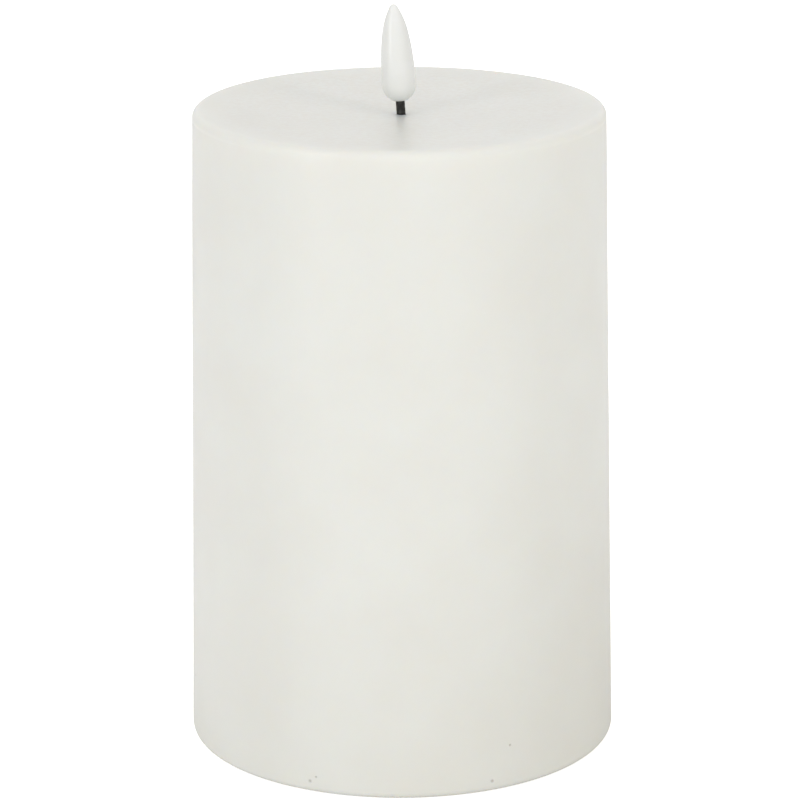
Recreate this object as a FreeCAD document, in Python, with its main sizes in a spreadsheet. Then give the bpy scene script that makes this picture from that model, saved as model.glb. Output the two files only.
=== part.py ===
import FreeCAD, Part
import math
import os
import re
import Sketcher
from FreeCAD import Vector

# Flameless LED pillar candle: wax shell, flame bulb on a bent wick, and a battery housing in its foot.
# Millimetres, +Z up, origin at the middle of the foot.  All driving sizes are in the sheet "Sizes".

os.makedirs("parts", exist_ok=True)
doc = FreeCAD.newDocument("FlamelessCandle")

SIZES = [
    # wax pillar, cast with a small mould draft
    ("base_radius", 50), ("pillar_height", 150), ("mould_draft", 1), ("edge_round", 1.75),
    ("dish_depth", 1.85), ("wax_wall", 7.5), ("wax_roof", 8), ("core_round", 4),
    ("top_radius", "=base_radius - pillar_height * tan(mould_draft)"),
    ("core_radius", "=base_radius - wax_wall"),
    ("core_height", "=pillar_height - wax_roof"),
    ("core_top_radius", "=core_radius - core_height * tan(mould_draft)"),
    ("dish_floor", "=pillar_height - dish_depth"),
    ("dish_radius", "=top_radius - edge_round"),
    ("dish_sphere", "=(dish_radius ^ 2 + dish_depth ^ 2) / (2 * dish_depth)"),
    # wick and its socket
    ("wick_offset", 0.45), ("wick_radius", 1.05), ("wick_bore", 0.7), ("wick_clearance", 0.05),
    ("wick_lean", 3.8), ("bend_radius", 12), ("bend_start", 147.8), ("wick_straight", 4.2),
    ("socket_bottom", 140.4), ("socket_flange_radius", 7), ("socket_flange", 1.6),
    ("socket_neck_radius", 3), ("socket_neck", 3.8),
    ("bead_radius", 1), ("fit_gap", 0.01), ("press_gap", 0.02),
    # flame bulb
    ("flame_foot", 151.6), ("flame_length", 22.3), ("flame_wall", 0.85), ("flame_width", 7.8),
    ("flame_belly", 3.7), ("foot_share", 0.42), ("tip_flat", 0.15),
    ("led_radius", 1.5), ("led_length", 4.6), ("led_flange_radius", 1.65), ("led_flange", 0.8),
    ("led_lift", 1.3), ("lead_radius", 0.2), ("lead_spacing", 0.9), ("lead_bottom", 137),
    # wires
    ("led_wire_radius", 0.5), ("led_wire_spacing", 1.4), ("led_wire_y", -14), ("led_wire_bend", 40),
    ("led_wire_rise", 84), ("sleeve_radius", 0.65), ("sleeve_length", 7), ("sleeve_overlap", 1.5),
    ("cell_wire_radius", 0.7), ("cell_wire_bend", 4), ("cell_wire_y", -10.2), ("cell_wire_reach", 12),
    ("wire_well", 0.4), ("wire_lift", 0.05),
    # base housing
    ("plate_bottom", 2), ("plate_thickness", 3.2), ("plate_radius", 42), ("rim_top", 15),
    ("rim_wall", 1.6), ("glue_size", 1.4), ("post_radius", 2.6), ("post_bore", 1.02), ("post_floor", 0.5),
    ("boss_roof", 1.2), ("mark_width", 0.7), ("mark_lift", 0.4), ("mark_root", 0.05), ("mark_offset", 4),
    ("scoop_radius", 5), ("scoop_depth", 1.4), ("scoop_reach", 2),
    ("plate_top", "=plate_bottom + plate_thickness"),
    # cells and their tower
    ("cell_radius", 13.1), ("cell_length", 50), ("nub_radius", 3.3), ("nub_height", 1.5),
    ("cell_gap", 0.6), ("cells_y", 9), ("tower_wall", 1.6), ("tower_inner_top", 59.7),
    ("cell_spacing", "=2 * (cell_radius + cell_gap)"),
    ("bay_length", "=4 * (cell_radius + cell_gap)"),
    ("bay_width", "=2 * (cell_radius + cell_gap)"),
    ("left_cell_bottom", 9), ("right_cell_bottom", 5),
    ("crimp_reach", 2.2), ("crimp_depth", 0.4), ("crimp_round", 0.6), ("nub_foot", 3), ("nub_round", 0.3),
    # battery door
    ("door_thickness", 1.8), ("door_margin", 2.4), ("door_gap", 0.3), ("door_ear_radius", 4),
    ("door_screw_x", 32.2), ("door_screw_radius", 1.3), ("boss_radius", 2.9), ("boss_top", 15),
    ("screw_clearance", 0.05), ("door_hole_gap", 0.15), ("head_seat_radius", 2.55), ("head_seat_depth", 1),
    ("door_head_radius", 2.35), ("door_head_height", 1.05), ("door_screw_end", 12.8),
    ("polarity_arm", 5), ("polarity_bar", 1), ("rib_width", 1), ("rib_height", 1.2),
    ("grip_length", 12), ("grip_width", 0.5), ("grip_pitch", 1.1),
    ("door_top", "=plate_bottom + door_thickness"),
    # contacts
    ("contact_thickness", 0.4), ("contact_size", 16), ("spring_wire", 0.4), ("spring_radius", 3.6),
    ("spring_height", 3.2), ("spring_growth", 1), ("spring_seat", 0.42),
    ("bridge_pad_radius", 3), ("bridge_pad_height", 0.5),
    ("tab_width", 4), ("tab_top", 65), ("tab_reach", 9), ("tab_gap", 0.2),
    ("top_plate_bottom", "=tower_inner_top - contact_thickness - fit_gap"),
    # circuit board and switch
    ("board_length", 46), ("board_width", 18), ("board_y", -20), ("board_bottom", 9.5),
    ("board_thickness", 1.6), ("board_screw_x", 19.5), ("board_screw_radius", 1), ("board_hole_radius", 1.05),
    ("board_head_radius", 2), ("board_head_height", 1.2), ("lug_length", 5), ("lug_width", 2.6),
    ("board_top", "=board_bottom + board_thickness"),
    ("frame_length", 13), ("frame_width", 6), ("frame_wall", 0.5), ("frame_gap", 0.05),
    ("frame_bottom", "=plate_top + frame_gap"),
    ("frame_height", "=board_bottom - fit_gap - frame_bottom"),
    ("knob_travel", 4), ("knob_length", 3), ("knob_width", 2.2), ("knob_bottom", 1), ("slot_gap", 0.3),
    ("slot_length", "=knob_travel + knob_length + 2 * slot_gap"),
    ("slider_length", 4.4), ("slider_height", 2.2), ("slider_lift", 0.25),
    ("groove_width", 0.3), ("groove_depth", 0.35), ("groove_pitch", 0.8),
    # parts on the board
    ("chip_x", 9), ("chip_length", 4.9), ("chip_width", 3.9), ("chip_height", 1.5), ("chip_lift", 0.2),
    ("pin_pitch", 1.27), ("pin_width", 0.42), ("pin_span", 6), ("pin_height", 0.3),
    ("crystal_x", -1), ("crystal_back", 20), ("crystal_radius", 1), ("crystal_length", 6),
    ("crystal_lift", 0.05), ("crystal_leg_radius", 0.15), ("crystal_leg_spacing", 0.8),
    ("crystal_leg_length", 1.5),
    ("can_x", -11), ("can_radius", 2.5), ("can_height", 7), ("can_groove", 0.2), ("can_groove_height", 1.5),
    ("can_round", 0.3),
    ("resistor_x", 3.5), ("resistor_length", 2), ("resistor_width", 1.25), ("resistor_height", 0.5),
    ("resistor_pitch", 2.4), ("resistor_offset", 3),
]

sheet = doc.addObject("Spreadsheet::Sheet", "Sizes")
for row, (alias, value) in enumerate(SIZES, start=1):
    sheet.set(f"A{row}", alias)
    sheet.set(f"B{row}", str(value))
    sheet.setAlias(f"B{row}", alias)
doc.recompute()

NAMES = {alias for alias, _ in SIZES}


def bound(text):
    """Turn a formula written with the sheet's names into one that points at the sheet."""
    return re.sub(r"[a-z_]+", lambda word: f"Sizes.{word[0]}" if word[0] in NAMES else word[0], text)


def size(formula):
    """The value of a formula in the sheet's names."""
    return float(sheet.evalExpression(bound(str(formula))))


def bind(thing, place, formula):
    """Tie a property of a feature to a formula in the sheet's names."""
    thing.setExpression(place, bound(str(formula)))


def new_body(name):
    return doc.addObject("PartDesign::Body", name)


def plane(body, role):
    return next(o for o in body.Origin.OriginFeatures if o.Role == role)


def attach(body, thing, role, shift=None):
    """Put a sketch on an origin plane, moved by formulas along the plane's own axes."""
    thing.AttachmentSupport = [(plane(body, role), "")]
    thing.MapMode = "FlatFace"
    for axis, formula in (shift or {}).items():
        bind(thing, f".AttachmentOffset.Base.{axis}", formula)


def fix_point(sketch, index, which, x, y):
    """Hold one end of a piece of outline at a place given by two formulas."""
    for kind, formula in (("DistanceX", x), ("DistanceY", y)):
        number = sketch.addConstraint(Sketcher.Constraint(kind, -1, 1, index, which, size(formula)))
        bind(sketch, f"Constraints[{number}]", formula)


def arc_between(start, end, radius):
    """Arc from start to end; a positive radius bulges to the right of the way, a negative one to the left."""
    chord = end - start
    half = chord.Length / 2
    side = Vector(-chord.y, chord.x, 0).normalize()
    reach = math.sqrt(max(radius * radius - half * half, 0))
    middle = (start + end) / 2
    centre = middle + side * (reach if radius > 0 else -reach)
    first, last = (start, end) if radius > 0 else (end, start)
    angle = [math.atan2(p.y - centre.y, p.x - centre.x) for p in (first, last)]
    return Part.ArcOfCircle(Part.Circle(centre, Vector(0, 0, 1), abs(radius)), angle[0], angle[1])


def outline(body, name, role, corners, shift=None, is_open=False):
    """Sketch of a chain of corners (x, y) or (x, y, radius of the arc that leads to the next corner)."""
    sketch = body.newObject("Sketcher::SketchObject", name)
    attach(body, sketch, role, shift)
    places = [Vector(size(c[0]), size(c[1]), 0) for c in corners]
    ends = []
    count = len(corners) - 1 if is_open else len(corners)
    for i in range(count):
        start, end = places[i], places[(i + 1) % len(corners)]
        if len(corners[i]) == 3:
            radius = size(corners[i][2])
            sketch.addGeometry(arc_between(start, end, radius), False)
            number = sketch.addConstraint(Sketcher.Constraint("Radius", i, abs(radius)))
            bind(sketch, f"Constraints[{number}]", f"abs({corners[i][2]})")
            ends.append((1, 2) if radius > 0 else (2, 1))
        else:
            sketch.addGeometry(Part.LineSegment(start, end), False)
            ends.append((1, 2))
    for i in range(count):
        if i + 1 < count or not is_open:
            following = (i + 1) % count
            sketch.addConstraint(
                Sketcher.Constraint("Coincident", i, ends[i][1], following, ends[following][0]))
        fix_point(sketch, i, ends[i][0], corners[i][0], corners[i][1])
    if is_open:
        fix_point(sketch, count - 1, ends[-1][1], corners[-1][0], corners[-1][1])
    return sketch


def rings(body, name, circles, height="0", role="XY_Plane"):
    """Sketch of full circles (x, y, radius) on a plane lifted to a height."""
    sketch = body.newObject("Sketcher::SketchObject", name)
    attach(body, sketch, role, {"z": height})
    for index, (x, y, radius) in enumerate(circles):
        sketch.addGeometry(Part.Circle(Vector(size(x), size(y), 0), Vector(0, 0, 1), size(radius)), False)
        number = sketch.addConstraint(Sketcher.Constraint("Radius", index, size(radius)))
        bind(sketch, f"Constraints[{number}]", radius)
        fix_point(sketch, index, 3, x, y)
    return sketch


def box_corners(x, y, length, width):
    """Corners of a rectangle about a middle, in order round it."""
    signs = (("-", "-"), ("+", "-"), ("+", "+"), ("-", "+"))
    return [(f"{x} {across} ({length}) / 2", f"{y} {along} ({width}) / 2") for across, along in signs]


def both_sides(x, y, *more):
    """The same place at both sides of the middle."""
    return [(f"{side} * {x}", y, *more) for side in (-1, 1)]


def pad(body, sketch, height):
    """Raise a sketch upwards."""
    feature = body.newObject("PartDesign::Pad", sketch.Name + "_pad")
    feature.Profile = sketch
    bind(feature, "Length", height)
    doc.recompute()
    return feature


def pocket(body, sketch, depth):
    """Cut upwards from the sketch and make sure that something was taken away."""
    before = body.Shape.Volume
    feature = body.newObject("PartDesign::Pocket", sketch.Name + "_cut")
    feature.Profile = sketch
    feature.Reversed = True
    bind(feature, "Length", depth)
    doc.recompute()
    if body.Shape.Volume >= before:
        raise RuntimeError(f"{body.Name}: {sketch.Name} cuts nothing")
    return feature


def slab(body, name, x, y, length, width, bottom, height, cut=False):
    """Add or cut a rectangular block about a middle."""
    sketch = outline(body, name, "XY_Plane", box_corners(x, y, length, width), {"z": bottom})
    return pocket(body, sketch, height) if cut else pad(body, sketch, height)


def turned(body, name, corners, cut=False):
    """Turn an outline drawn in the XZ plane about its own upright axis."""
    sketch = outline(body, name, "XZ_Plane", corners)
    before = body.Shape.Volume if cut else 0
    feature = body.newObject("PartDesign::Groove" if cut else "PartDesign::Revolution", name + "_turn")
    feature.Profile = sketch
    feature.ReferenceAxis = (sketch, ["V_Axis"])
    feature.Angle = 360
    doc.recompute()
    if cut and body.Shape.Volume >= before:
        raise RuntimeError(f"{body.Name}: {name} cuts nothing")
    return feature


def piped(body, name, circles, spine, height, cut=False):
    """Carry circles drawn flat at a height along a spine sketch."""
    profile = rings(body, name, circles, height)
    kind = "PartDesign::SubtractivePipe" if cut else "PartDesign::AdditivePipe"
    feature = body.newObject(kind, name + "_pipe")
    feature.Profile = profile
    feature.Spine = (spine, [])
    doc.recompute()
    return feature


def mirrored(body, features, role="YZ_Plane"):
    """Repeat features on the other side of an origin plane."""
    feature = body.newObject("PartDesign::Mirrored", body.Name + "_mirror")
    feature.Originals = features
    feature.MirrorPlane = (plane(body, role), [""])
    body.Tip = feature
    doc.recompute()
    return feature


def moved(body, x="0", y="0", z="0", turn="0"):
    """Place a finished body by formulas; the turn is about Y, against the clock seen from the front."""
    body.Placement = FreeCAD.Placement(Vector(), FreeCAD.Rotation(Vector(0, 1, 0), -size(turn)))
    for axis, formula in (("x", x), ("y", y), ("z", z)):
        bind(body, f".Placement.Base.{axis}", formula)
    doc.recompute()


# ---------------------------------------------------------------- wax shell

def wax_shell():
    body = new_body("wax_shell")
    taper = "tan(mould_draft)"
    turned(body, "pillar", [
        ("0", "0"),
        ("base_radius - edge_round", "0", "edge_round"),
        (f"base_radius - edge_round * {taper}", "edge_round"),
        (f"base_radius - (pillar_height - edge_round) * {taper}", "pillar_height - edge_round", "edge_round"),
        ("dish_radius", "pillar_height", "-dish_sphere"),
        ("0", "dish_floor"),
    ])
    turned(body, "core", [
        ("0", "0"),
        ("core_radius", "0"),
        (f"core_radius - (core_height - core_round) * {taper}", "core_height - core_round", "core_round"),
        ("core_top_radius - core_round", "core_height"),
        ("0", "core_height"),
    ], cut=True)
    for name, radius, depth in (("socket_hole", "socket_neck_radius", "socket_neck"),
                                ("wick_hole", "wick_radius", "wax_roof + edge_round")):
        hole = rings(body, name, [("wick_offset", "0", f"{radius} + wick_clearance")], "core_height")
        pocket(body, hole, depth)
    return body


# ---------------------------------------------------------------- wick, flame and LED

def wick_spine(body, name, bottom, straight):
    """Straight rise, short tangent bend, then the straight lean to the left."""
    sketch = outline(body, name, "XZ_Plane", [
        ("wick_offset", bottom),
        ("wick_offset", "bend_start", "bend_radius"),
        ("wick_offset - bend_radius * (1 - cos(wick_lean))", "bend_start + bend_radius * sin(wick_lean)"),
        (f"wick_offset - bend_radius * (1 - cos(wick_lean)) - ({straight}) * sin(wick_lean)",
         f"bend_start + bend_radius * sin(wick_lean) + ({straight}) * cos(wick_lean)"),
    ], is_open=True)
    return sketch


def wick_sleeve():
    body = new_body("wick_sleeve")
    spine = wick_spine(body, "sleeve_run", "socket_bottom", "wick_straight")
    piped(body, "sleeve_outer", [("wick_offset", "0", "wick_radius")], spine, "socket_bottom")
    piped(body, "sleeve_inner", [("wick_offset", "0", "wick_bore")], spine, "socket_bottom", cut=True)
    return body


def led_leads():
    body = new_body("led_leads")
    spine = wick_spine(body, "lead_run", "lead_bottom", "wick_straight + wire_lift")
    pair = [(f"wick_offset + {side} * lead_spacing / 2", "0", "lead_radius") for side in (-1, 1)]
    piped(body, "leads", pair, spine, "lead_bottom")
    return body


# sideways place of the flame's foot, where the leaning wick reaches the foot's height
FLAME_FOOT_X = ("wick_offset - bend_radius * (1 - cos(wick_lean))"
                " - (flame_foot - bend_start - bend_radius * sin(wick_lean)) * tan(wick_lean)")


def flame_outline(inset, foot):
    """Half profile of the flame, pulled in by a wall thickness and closed at its own foot."""
    half = f"(flame_width / 2 - {inset})"
    flare = f"((1 - foot_share) * {half})"
    return [
        (f"foot_share * {half}", foot, f"({flare} ^ 2 + flame_belly ^ 2) / (2 * {flare})"),
        (half, f"{foot} + flame_belly", "2.9 * flame_length"),
        (f"0.94 * {half}", "0.47 * flame_length", "2.2 * flame_length"),
        (f"0.71 * {half}", "0.755 * flame_length", "0.9 * flame_length"),
        (f"0.28 * {half}", f"0.957 * flame_length - {inset}", f"0.4 * {half}"),
        ("tip_flat", f"flame_length - {inset} * 1.4"),
        ("0", f"flame_length - {inset} * 1.4"),
    ]


def flame_bulb():
    body = new_body("flame_bulb")
    turned(body, "flame_skin", [("0", "0")] + flame_outline("0", "0"))
    turned(body, "flame_hollow", [("0", "flame_wall")] + flame_outline("flame_wall", "flame_wall"), cut=True)
    hole = rings(body, "wick_entry", [("0", "0", "wick_radius + press_gap")])
    pocket(body, hole, "flame_wall + wick_clearance")
    moved(body, FLAME_FOOT_X, "0", "flame_foot", "wick_lean")
    return body


def flame_led():
    body = new_body("flame_led")
    turned(body, "led_body", [
        ("0", "led_lift"),
        ("led_flange_radius", "led_lift"),
        ("led_flange_radius", "led_lift + led_flange"),
        ("led_radius", "led_lift + led_flange"),
        ("led_radius", "led_lift + led_length - led_radius", "led_radius"),
        ("0", "led_lift + led_length"),
    ])
    moved(body, FLAME_FOOT_X, "0", "flame_foot", "wick_lean")
    return body


def wick_socket():
    """Flanged bush glued under the wax roof; the wick sleeve is pressed into it."""
    body = new_body("wick_socket")
    flange = rings(body, "flange", [("wick_offset", "0", "socket_flange_radius")], "socket_bottom")
    pad(body, flange, "socket_flange")
    neck = rings(body, "neck", [("wick_offset", "0", "socket_neck_radius")], "socket_bottom + socket_flange")
    pad(body, neck, "socket_neck")
    bore = rings(body, "bore", [("wick_offset", "0", "wick_radius + fit_gap")], "socket_bottom")
    pocket(body, bore, "socket_flange + socket_neck")
    return body


def socket_glue():
    body = new_body("socket_glue_bead")
    edge = "socket_flange_radius + press_gap"
    turned(body, "bead", [
        (edge, "core_height - fit_gap"),
        (edge, "core_height - bead_radius", "bead_radius * 1.1"),
        (f"{edge} + bead_radius", "core_height - fit_gap"),
    ])
    moved(body, "wick_offset")
    return body


# ---------------------------------------------------------------- wires

def led_wire(name, side):
    """One insulated wire from the board, up beside the cell tower, to its lead under the socket."""
    body = new_body(name)
    x = f"wick_offset + {side} * led_wire_spacing / 2"
    rise = "led_wire_bend * sin(acos(1 + led_wire_y / (2 * led_wire_bend)))"
    start = "board_top - wire_well"
    spine = outline(body, name + "_run", "YZ_Plane", [
        ("led_wire_y", start),
        ("led_wire_y", "led_wire_rise", "-led_wire_bend"),
        ("led_wire_y / 2", f"led_wire_rise + {rise}", "led_wire_bend"),
        ("0", f"led_wire_rise + 2 * {rise}"),
        ("0", "lead_bottom"),
    ], {"z": x}, is_open=True)
    piped(body, name + "_section", [(x, "led_wire_y", "led_wire_radius")], spine, start)
    check_run(body, spine.Shape.Length, "led_wire_radius")
    return body


def check_run(body, run, radius):
    """A wire's volume has to be its section times its length."""
    wanted = math.pi * size(radius) ** 2 * run
    if abs(body.Shape.Volume - wanted) > 0.01 * wanted:
        raise RuntimeError(f"{body.Name}: volume {body.Shape.Volume:.2f}, wanted {wanted:.2f}")
    print(f"{body.Name}: {run:.1f} mm long")


def lead_sleeves():
    body = new_body("lead_sleeves")
    places = [f"wick_offset + {side} * led_wire_spacing / 2" for side in (-1, 1)]
    bottom = "lead_bottom - sleeve_length + sleeve_overlap"
    outer = rings(body, "sleeves", [(x, "0", "sleeve_radius") for x in places], bottom)
    pad(body, outer, "sleeve_length")
    inner = rings(body, "sleeve_bores", [(x, "0", "led_wire_radius + fit_gap") for x in places], bottom)
    pocket(body, inner, "sleeve_length")
    return body


def cell_wire(name, side):
    """One battery wire: from the contact tab over the front of the tower and down to the board."""
    body = new_body(name)
    x = f"{side} * cell_spacing / 2"
    level = "tab_top + cell_wire_radius + wire_lift"
    start = "board_top - wire_well"
    spine = outline(body, name + "_run", "YZ_Plane", [
        ("cell_wire_y", start),
        ("cell_wire_y", f"{level} - cell_wire_bend", "-cell_wire_bend"),
        ("cell_wire_y + cell_wire_bend", level),
        ("cells_y - cell_wire_reach", level),
    ], {"z": x}, is_open=True)
    piped(body, name + "_section", [(x, "cell_wire_y", "cell_wire_radius")], spine, start)
    check_run(body, spine.Shape.Length, "cell_wire_radius")
    return body


# ---------------------------------------------------------------- base housing and door

def door_outline(body, name, margin, ear, bottom, height, cut=False):
    """The door's plan: a plate over the cell bay with a round screw ear at each end."""
    slab(body, name, "0", "cells_y", f"bay_length + 2 * ({margin})", f"bay_width + 2 * ({margin})",
         bottom, height, cut)
    ears = rings(body, name + "_ears", both_sides("door_screw_x", "cells_y", ear), bottom)
    return pocket(body, ears, height) if cut else pad(body, ears, height)


def raised_mark(body, name, x, y, length, width):
    """Low raised block under the plate's or the door's lower face."""
    return slab(body, name, x, y, length, width, "plate_bottom - mark_lift", "mark_lift + mark_root")


def housing_solid(body):
    """Plate, rim, cell tower, door bosses and board posts."""
    pad(body, rings(body, "plate", [("0", "0", "plate_radius")], "plate_bottom"), "plate_thickness")
    rim = rings(body, "rim", [("0", "0", "plate_radius"), ("0", "0", "plate_radius - rim_wall")], "plate_top")
    pad(body, rim, "rim_top - plate_top")
    slab(body, "tower", "0", "cells_y", "bay_length + 2 * tower_wall", "bay_width + 2 * tower_wall",
         "plate_top", "tower_inner_top + tower_wall - plate_top")
    bosses = rings(body, "door_bosses", both_sides("door_screw_x", "cells_y", "boss_radius"), "plate_top")
    pad(body, bosses, "boss_top - plate_top")
    posts = rings(body, "board_posts", both_sides("board_screw_x", "board_y", "post_radius"), "plate_top")
    pad(body, posts, "board_bottom - plate_top")


def housing_openings(body):
    """Cell bay, door seat, screw holes, switch slot and the slots for the contact tabs."""
    slab(body, "bay", "0", "cells_y", "bay_length", "bay_width",
         "plate_bottom", "tower_inner_top - plate_bottom", True)
    door_outline(body, "door_seat", "door_margin + door_gap", "door_ear_radius + door_gap",
                 "plate_bottom", "door_thickness + door_gap", True)
    holes = both_sides("door_screw_x", "cells_y", "door_screw_radius + screw_clearance")
    bores = rings(body, "door_screw_holes", holes, "plate_bottom")
    pocket(body, bores, "boss_top - plate_bottom - boss_roof")
    holes = both_sides("board_screw_x", "board_y", "post_bore")
    bores = rings(body, "post_bores", holes, "plate_top + post_floor")
    pocket(body, bores, "board_bottom - plate_top - post_floor")
    slab(body, "knob_slot", "0", "board_y", "slot_length", "knob_width + 2 * slot_gap",
         "plate_bottom", "plate_thickness", True)
    for side, name in ((-1, "tab_slot_left"), (1, "tab_slot_right")):
        slab(body, name, f"{side} * cell_spacing / 2", "cells_y - tab_reach",
             "tab_width + tab_gap", "contact_thickness + tab_gap", "tower_inner_top", "tower_wall", True)


def base_housing():
    body = new_body("base_housing")
    housing_solid(body)
    housing_openings(body)
    # one raised mark beside each position of the switch, longer from off to timer
    for index, x in enumerate(("-knob_travel / 2", "0", "knob_travel / 2")):
        raised_mark(body, f"position_mark_{index}", x, "board_y - mark_offset",
                    "mark_width", f"{index + 1} * mark_width")
    # finger scoop at the front edge of the door seat
    scoop_y = "cells_y - bay_width / 2 - door_margin - scoop_reach"
    pocket(body, rings(body, "door_scoop", [("0", scoop_y, "scoop_radius")], "plate_bottom"), "scoop_depth")
    return body


def housing_glue():
    """Hot-melt fillet between the housing rim and the wax wall."""
    body = new_body("housing_glue_bead")
    wall = "core_radius - fit_gap"
    turned(body, "glue_ring", [
        ("plate_radius - glue_size", "rim_top + fit_gap"),
        (f"{wall} - (rim_top + fit_gap) * tan(mould_draft)", "rim_top + fit_gap"),
        (f"{wall} - (rim_top + glue_size) * tan(mould_draft)", "rim_top + glue_size", "-glue_size * 1.3"),
    ])
    return body


def battery_door():
    body = new_body("battery_door")
    door_outline(body, "door_plate", "door_margin", "door_ear_radius", "plate_bottom", "door_thickness")
    for name, radius, depth in (("door_holes", "door_screw_radius + door_hole_gap", "door_thickness"),
                                ("head_seats", "head_seat_radius", "head_seat_depth")):
        pocket(body, rings(body, name, both_sides("door_screw_x", "cells_y", radius), "plate_bottom"), depth)
    # stiffening ribs that drop into the bay beside the cells
    for side, name in ((-1, "rib_front"), (1, "rib_back")):
        slab(body, name, "0", f"cells_y + {side} * (bay_width / 2 - rib_width)",
             "bay_length / 2", "rib_width", "door_top", "rib_height")
    # polarity marks under the cells: a bar on the left, a cross on the right
    raised_mark(body, "mark_bar", "-cell_spacing / 2", "cells_y", "polarity_arm", "polarity_bar")
    raised_mark(body, "mark_cross_a", "cell_spacing / 2", "cells_y", "polarity_arm", "polarity_bar")
    raised_mark(body, "mark_cross_b", "cell_spacing / 2", "cells_y", "polarity_bar", "polarity_arm")
    for index in range(5):
        y = f"cells_y - bay_width / 2 + {index} * grip_pitch - grip_width"
        raised_mark(body, f"grip_rib_{index}", "0", y, "grip_length", "grip_width")
    return body


def cross_slots(body, name, x, y, head_radius, bottom):
    """Cross recess in a screw's head."""
    long_side, short_side, depth = f"1.5 * {head_radius}", f"0.4 * {head_radius}", "0.5"
    return [
        slab(body, name + "_slot_a", x, y, long_side, short_side, bottom, depth, True),
        slab(body, name + "_slot_b", x, y, short_side, long_side, bottom, depth, True),
    ]


def door_screws():
    """Two captive screws with their heads in the door's lower face."""
    body = new_body("door_screws")
    x, y, low = "door_screw_x", "cells_y", "plate_bottom - 0.1"
    head = pad(body, rings(body, "door_screw_head", [(x, y, "door_head_radius")], low), "door_head_height")
    start = f"{low} + door_head_height"
    shank = pad(body, rings(body, "door_screw_shank", [(x, y, "door_screw_radius")], start),
                f"door_screw_end - ({start})")
    mirrored(body, [head, shank] + cross_slots(body, "door_screw", x, y, "door_head_radius", low))
    return body


def board_screws():
    """Two screws that hold the board down on its posts."""
    body = new_body("board_screws")
    x, y, low, end = "board_screw_x", "board_y", "board_top + fit_gap", "plate_top + board_screw_radius"
    head = pad(body, rings(body, "board_screw_head", [(x, y, "board_head_radius")], low), "board_head_height")
    shank = pad(body, rings(body, "board_screw_shank", [(x, y, "board_screw_radius")], end),
                f"{low} - ({end})")
    slots = cross_slots(body, "board_screw", x, y, "board_head_radius", f"{low} + board_head_height - 0.5")
    mirrored(body, [head, shank] + slots)
    return body


# ---------------------------------------------------------------- cells and contacts

def cell(name, side, bottom, nub_up):
    """Round dry cell with a crimped rim and a raised terminal at one end."""
    body = new_body(name)
    shoulder = "cell_length - nub_height"
    corners = [
        ("0", "0"),
        ("cell_radius - crimp_reach", "0"),
        ("cell_radius - crimp_reach", "crimp_depth"),
        ("cell_radius - crimp_round", "crimp_depth"),
        ("cell_radius", "crimp_depth + crimp_round"),
        ("cell_radius", f"{shoulder} - crimp_depth - crimp_round"),
        ("cell_radius - crimp_round", f"{shoulder} - crimp_depth"),
        ("cell_radius - crimp_reach", f"{shoulder} - crimp_depth"),
        ("nub_radius + nub_foot", shoulder),
        ("nub_radius", shoulder),
        ("nub_radius", "cell_length - nub_round"),
        ("nub_radius - nub_round", "cell_length"),
        ("0", "cell_length"),
    ]
    if not nub_up:
        corners = [(x, f"cell_length - ({height})") for x, height in corners]
    turned(body, name + "_can", [(x, f"{bottom} + {height}") for x, height in corners])
    moved(body, f"{side} * cell_spacing / 2", "cells_y")
    return body


def conical_spring(name, side, start, upward):
    """Three turns of round wire, narrow at the cell and wide at the plate."""
    body = new_body(name)
    profile = rings(body, name + "_wire", [("spring_radius", "0", "spring_wire")], "0", "XZ_Plane")
    helix = body.newObject("PartDesign::AdditiveHelix", name + "_coil")
    helix.Profile = profile
    helix.ReferenceAxis = (profile, ["V_Axis"])
    helix.Mode = "height-turns-growth"
    helix.Turns = 3
    bind(helix, "Height", "spring_height")
    bind(helix, "Growth", "spring_growth")
    doc.recompute()
    moved(body, f"{side} * cell_spacing / 2", "cells_y", start, "0" if upward else "180")
    return body


def bridge_contact():
    """Plate on the door that joins the two cells end to end, with a raised pad under one terminal."""
    body = new_body("bridge_contact")
    slab(body, "bridge_plate", "0", "cells_y", "cell_spacing + contact_size", "contact_size",
         "door_top + fit_gap", "contact_thickness")
    pads = rings(body, "bridge_pad", [("cell_spacing / 2", "cells_y", "bridge_pad_radius")],
                 "door_top + contact_thickness")
    pad(body, pads, "bridge_pad_height")
    return body


def top_contact(name, side):
    """Plate under the tower's roof with a solder tab that stands up through a slot."""
    body = new_body(name)
    x = f"{side} * cell_spacing / 2"
    slab(body, name + "_plate", x, "cells_y", "contact_size", "contact_size",
         "top_plate_bottom", "contact_thickness")
    slab(body, name + "_reach", x, "cells_y - tab_reach + contact_thickness",
         "tab_width", "3 * contact_thickness", "top_plate_bottom", "contact_thickness")
    slab(body, name + "_tab", x, "cells_y - tab_reach", "tab_width", "contact_thickness",
         "top_plate_bottom", "tab_top - fit_gap - top_plate_bottom")
    return body


# ---------------------------------------------------------------- circuit board

def main_board():
    """Board with its fixing holes, a lug for each battery wire and wells for all four wires."""
    body = new_body("main_board")
    slab(body, "board", "0", "board_y", "board_length", "board_width", "board_bottom", "board_thickness")
    holes = both_sides("board_screw_x", "board_y", "board_hole_radius")
    pocket(body, rings(body, "fixing_holes", holes, "board_bottom"), "board_thickness")
    for side, name in ((-1, "lug_left"), (1, "lug_right")):
        slab(body, name, f"{side} * cell_spacing / 2", "cell_wire_y", "lug_length", "lug_width",
             "board_bottom", "board_thickness")
    wells = [(f"wick_offset + {side} * led_wire_spacing / 2", "led_wire_y", "led_wire_radius + press_gap")
             for side in (-1, 1)]
    wells += both_sides("cell_spacing / 2", "cell_wire_y", "cell_wire_radius + press_gap")
    pocket(body, rings(body, "wire_wells", wells, "board_top - wire_well"), "wire_well")
    return body


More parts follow.
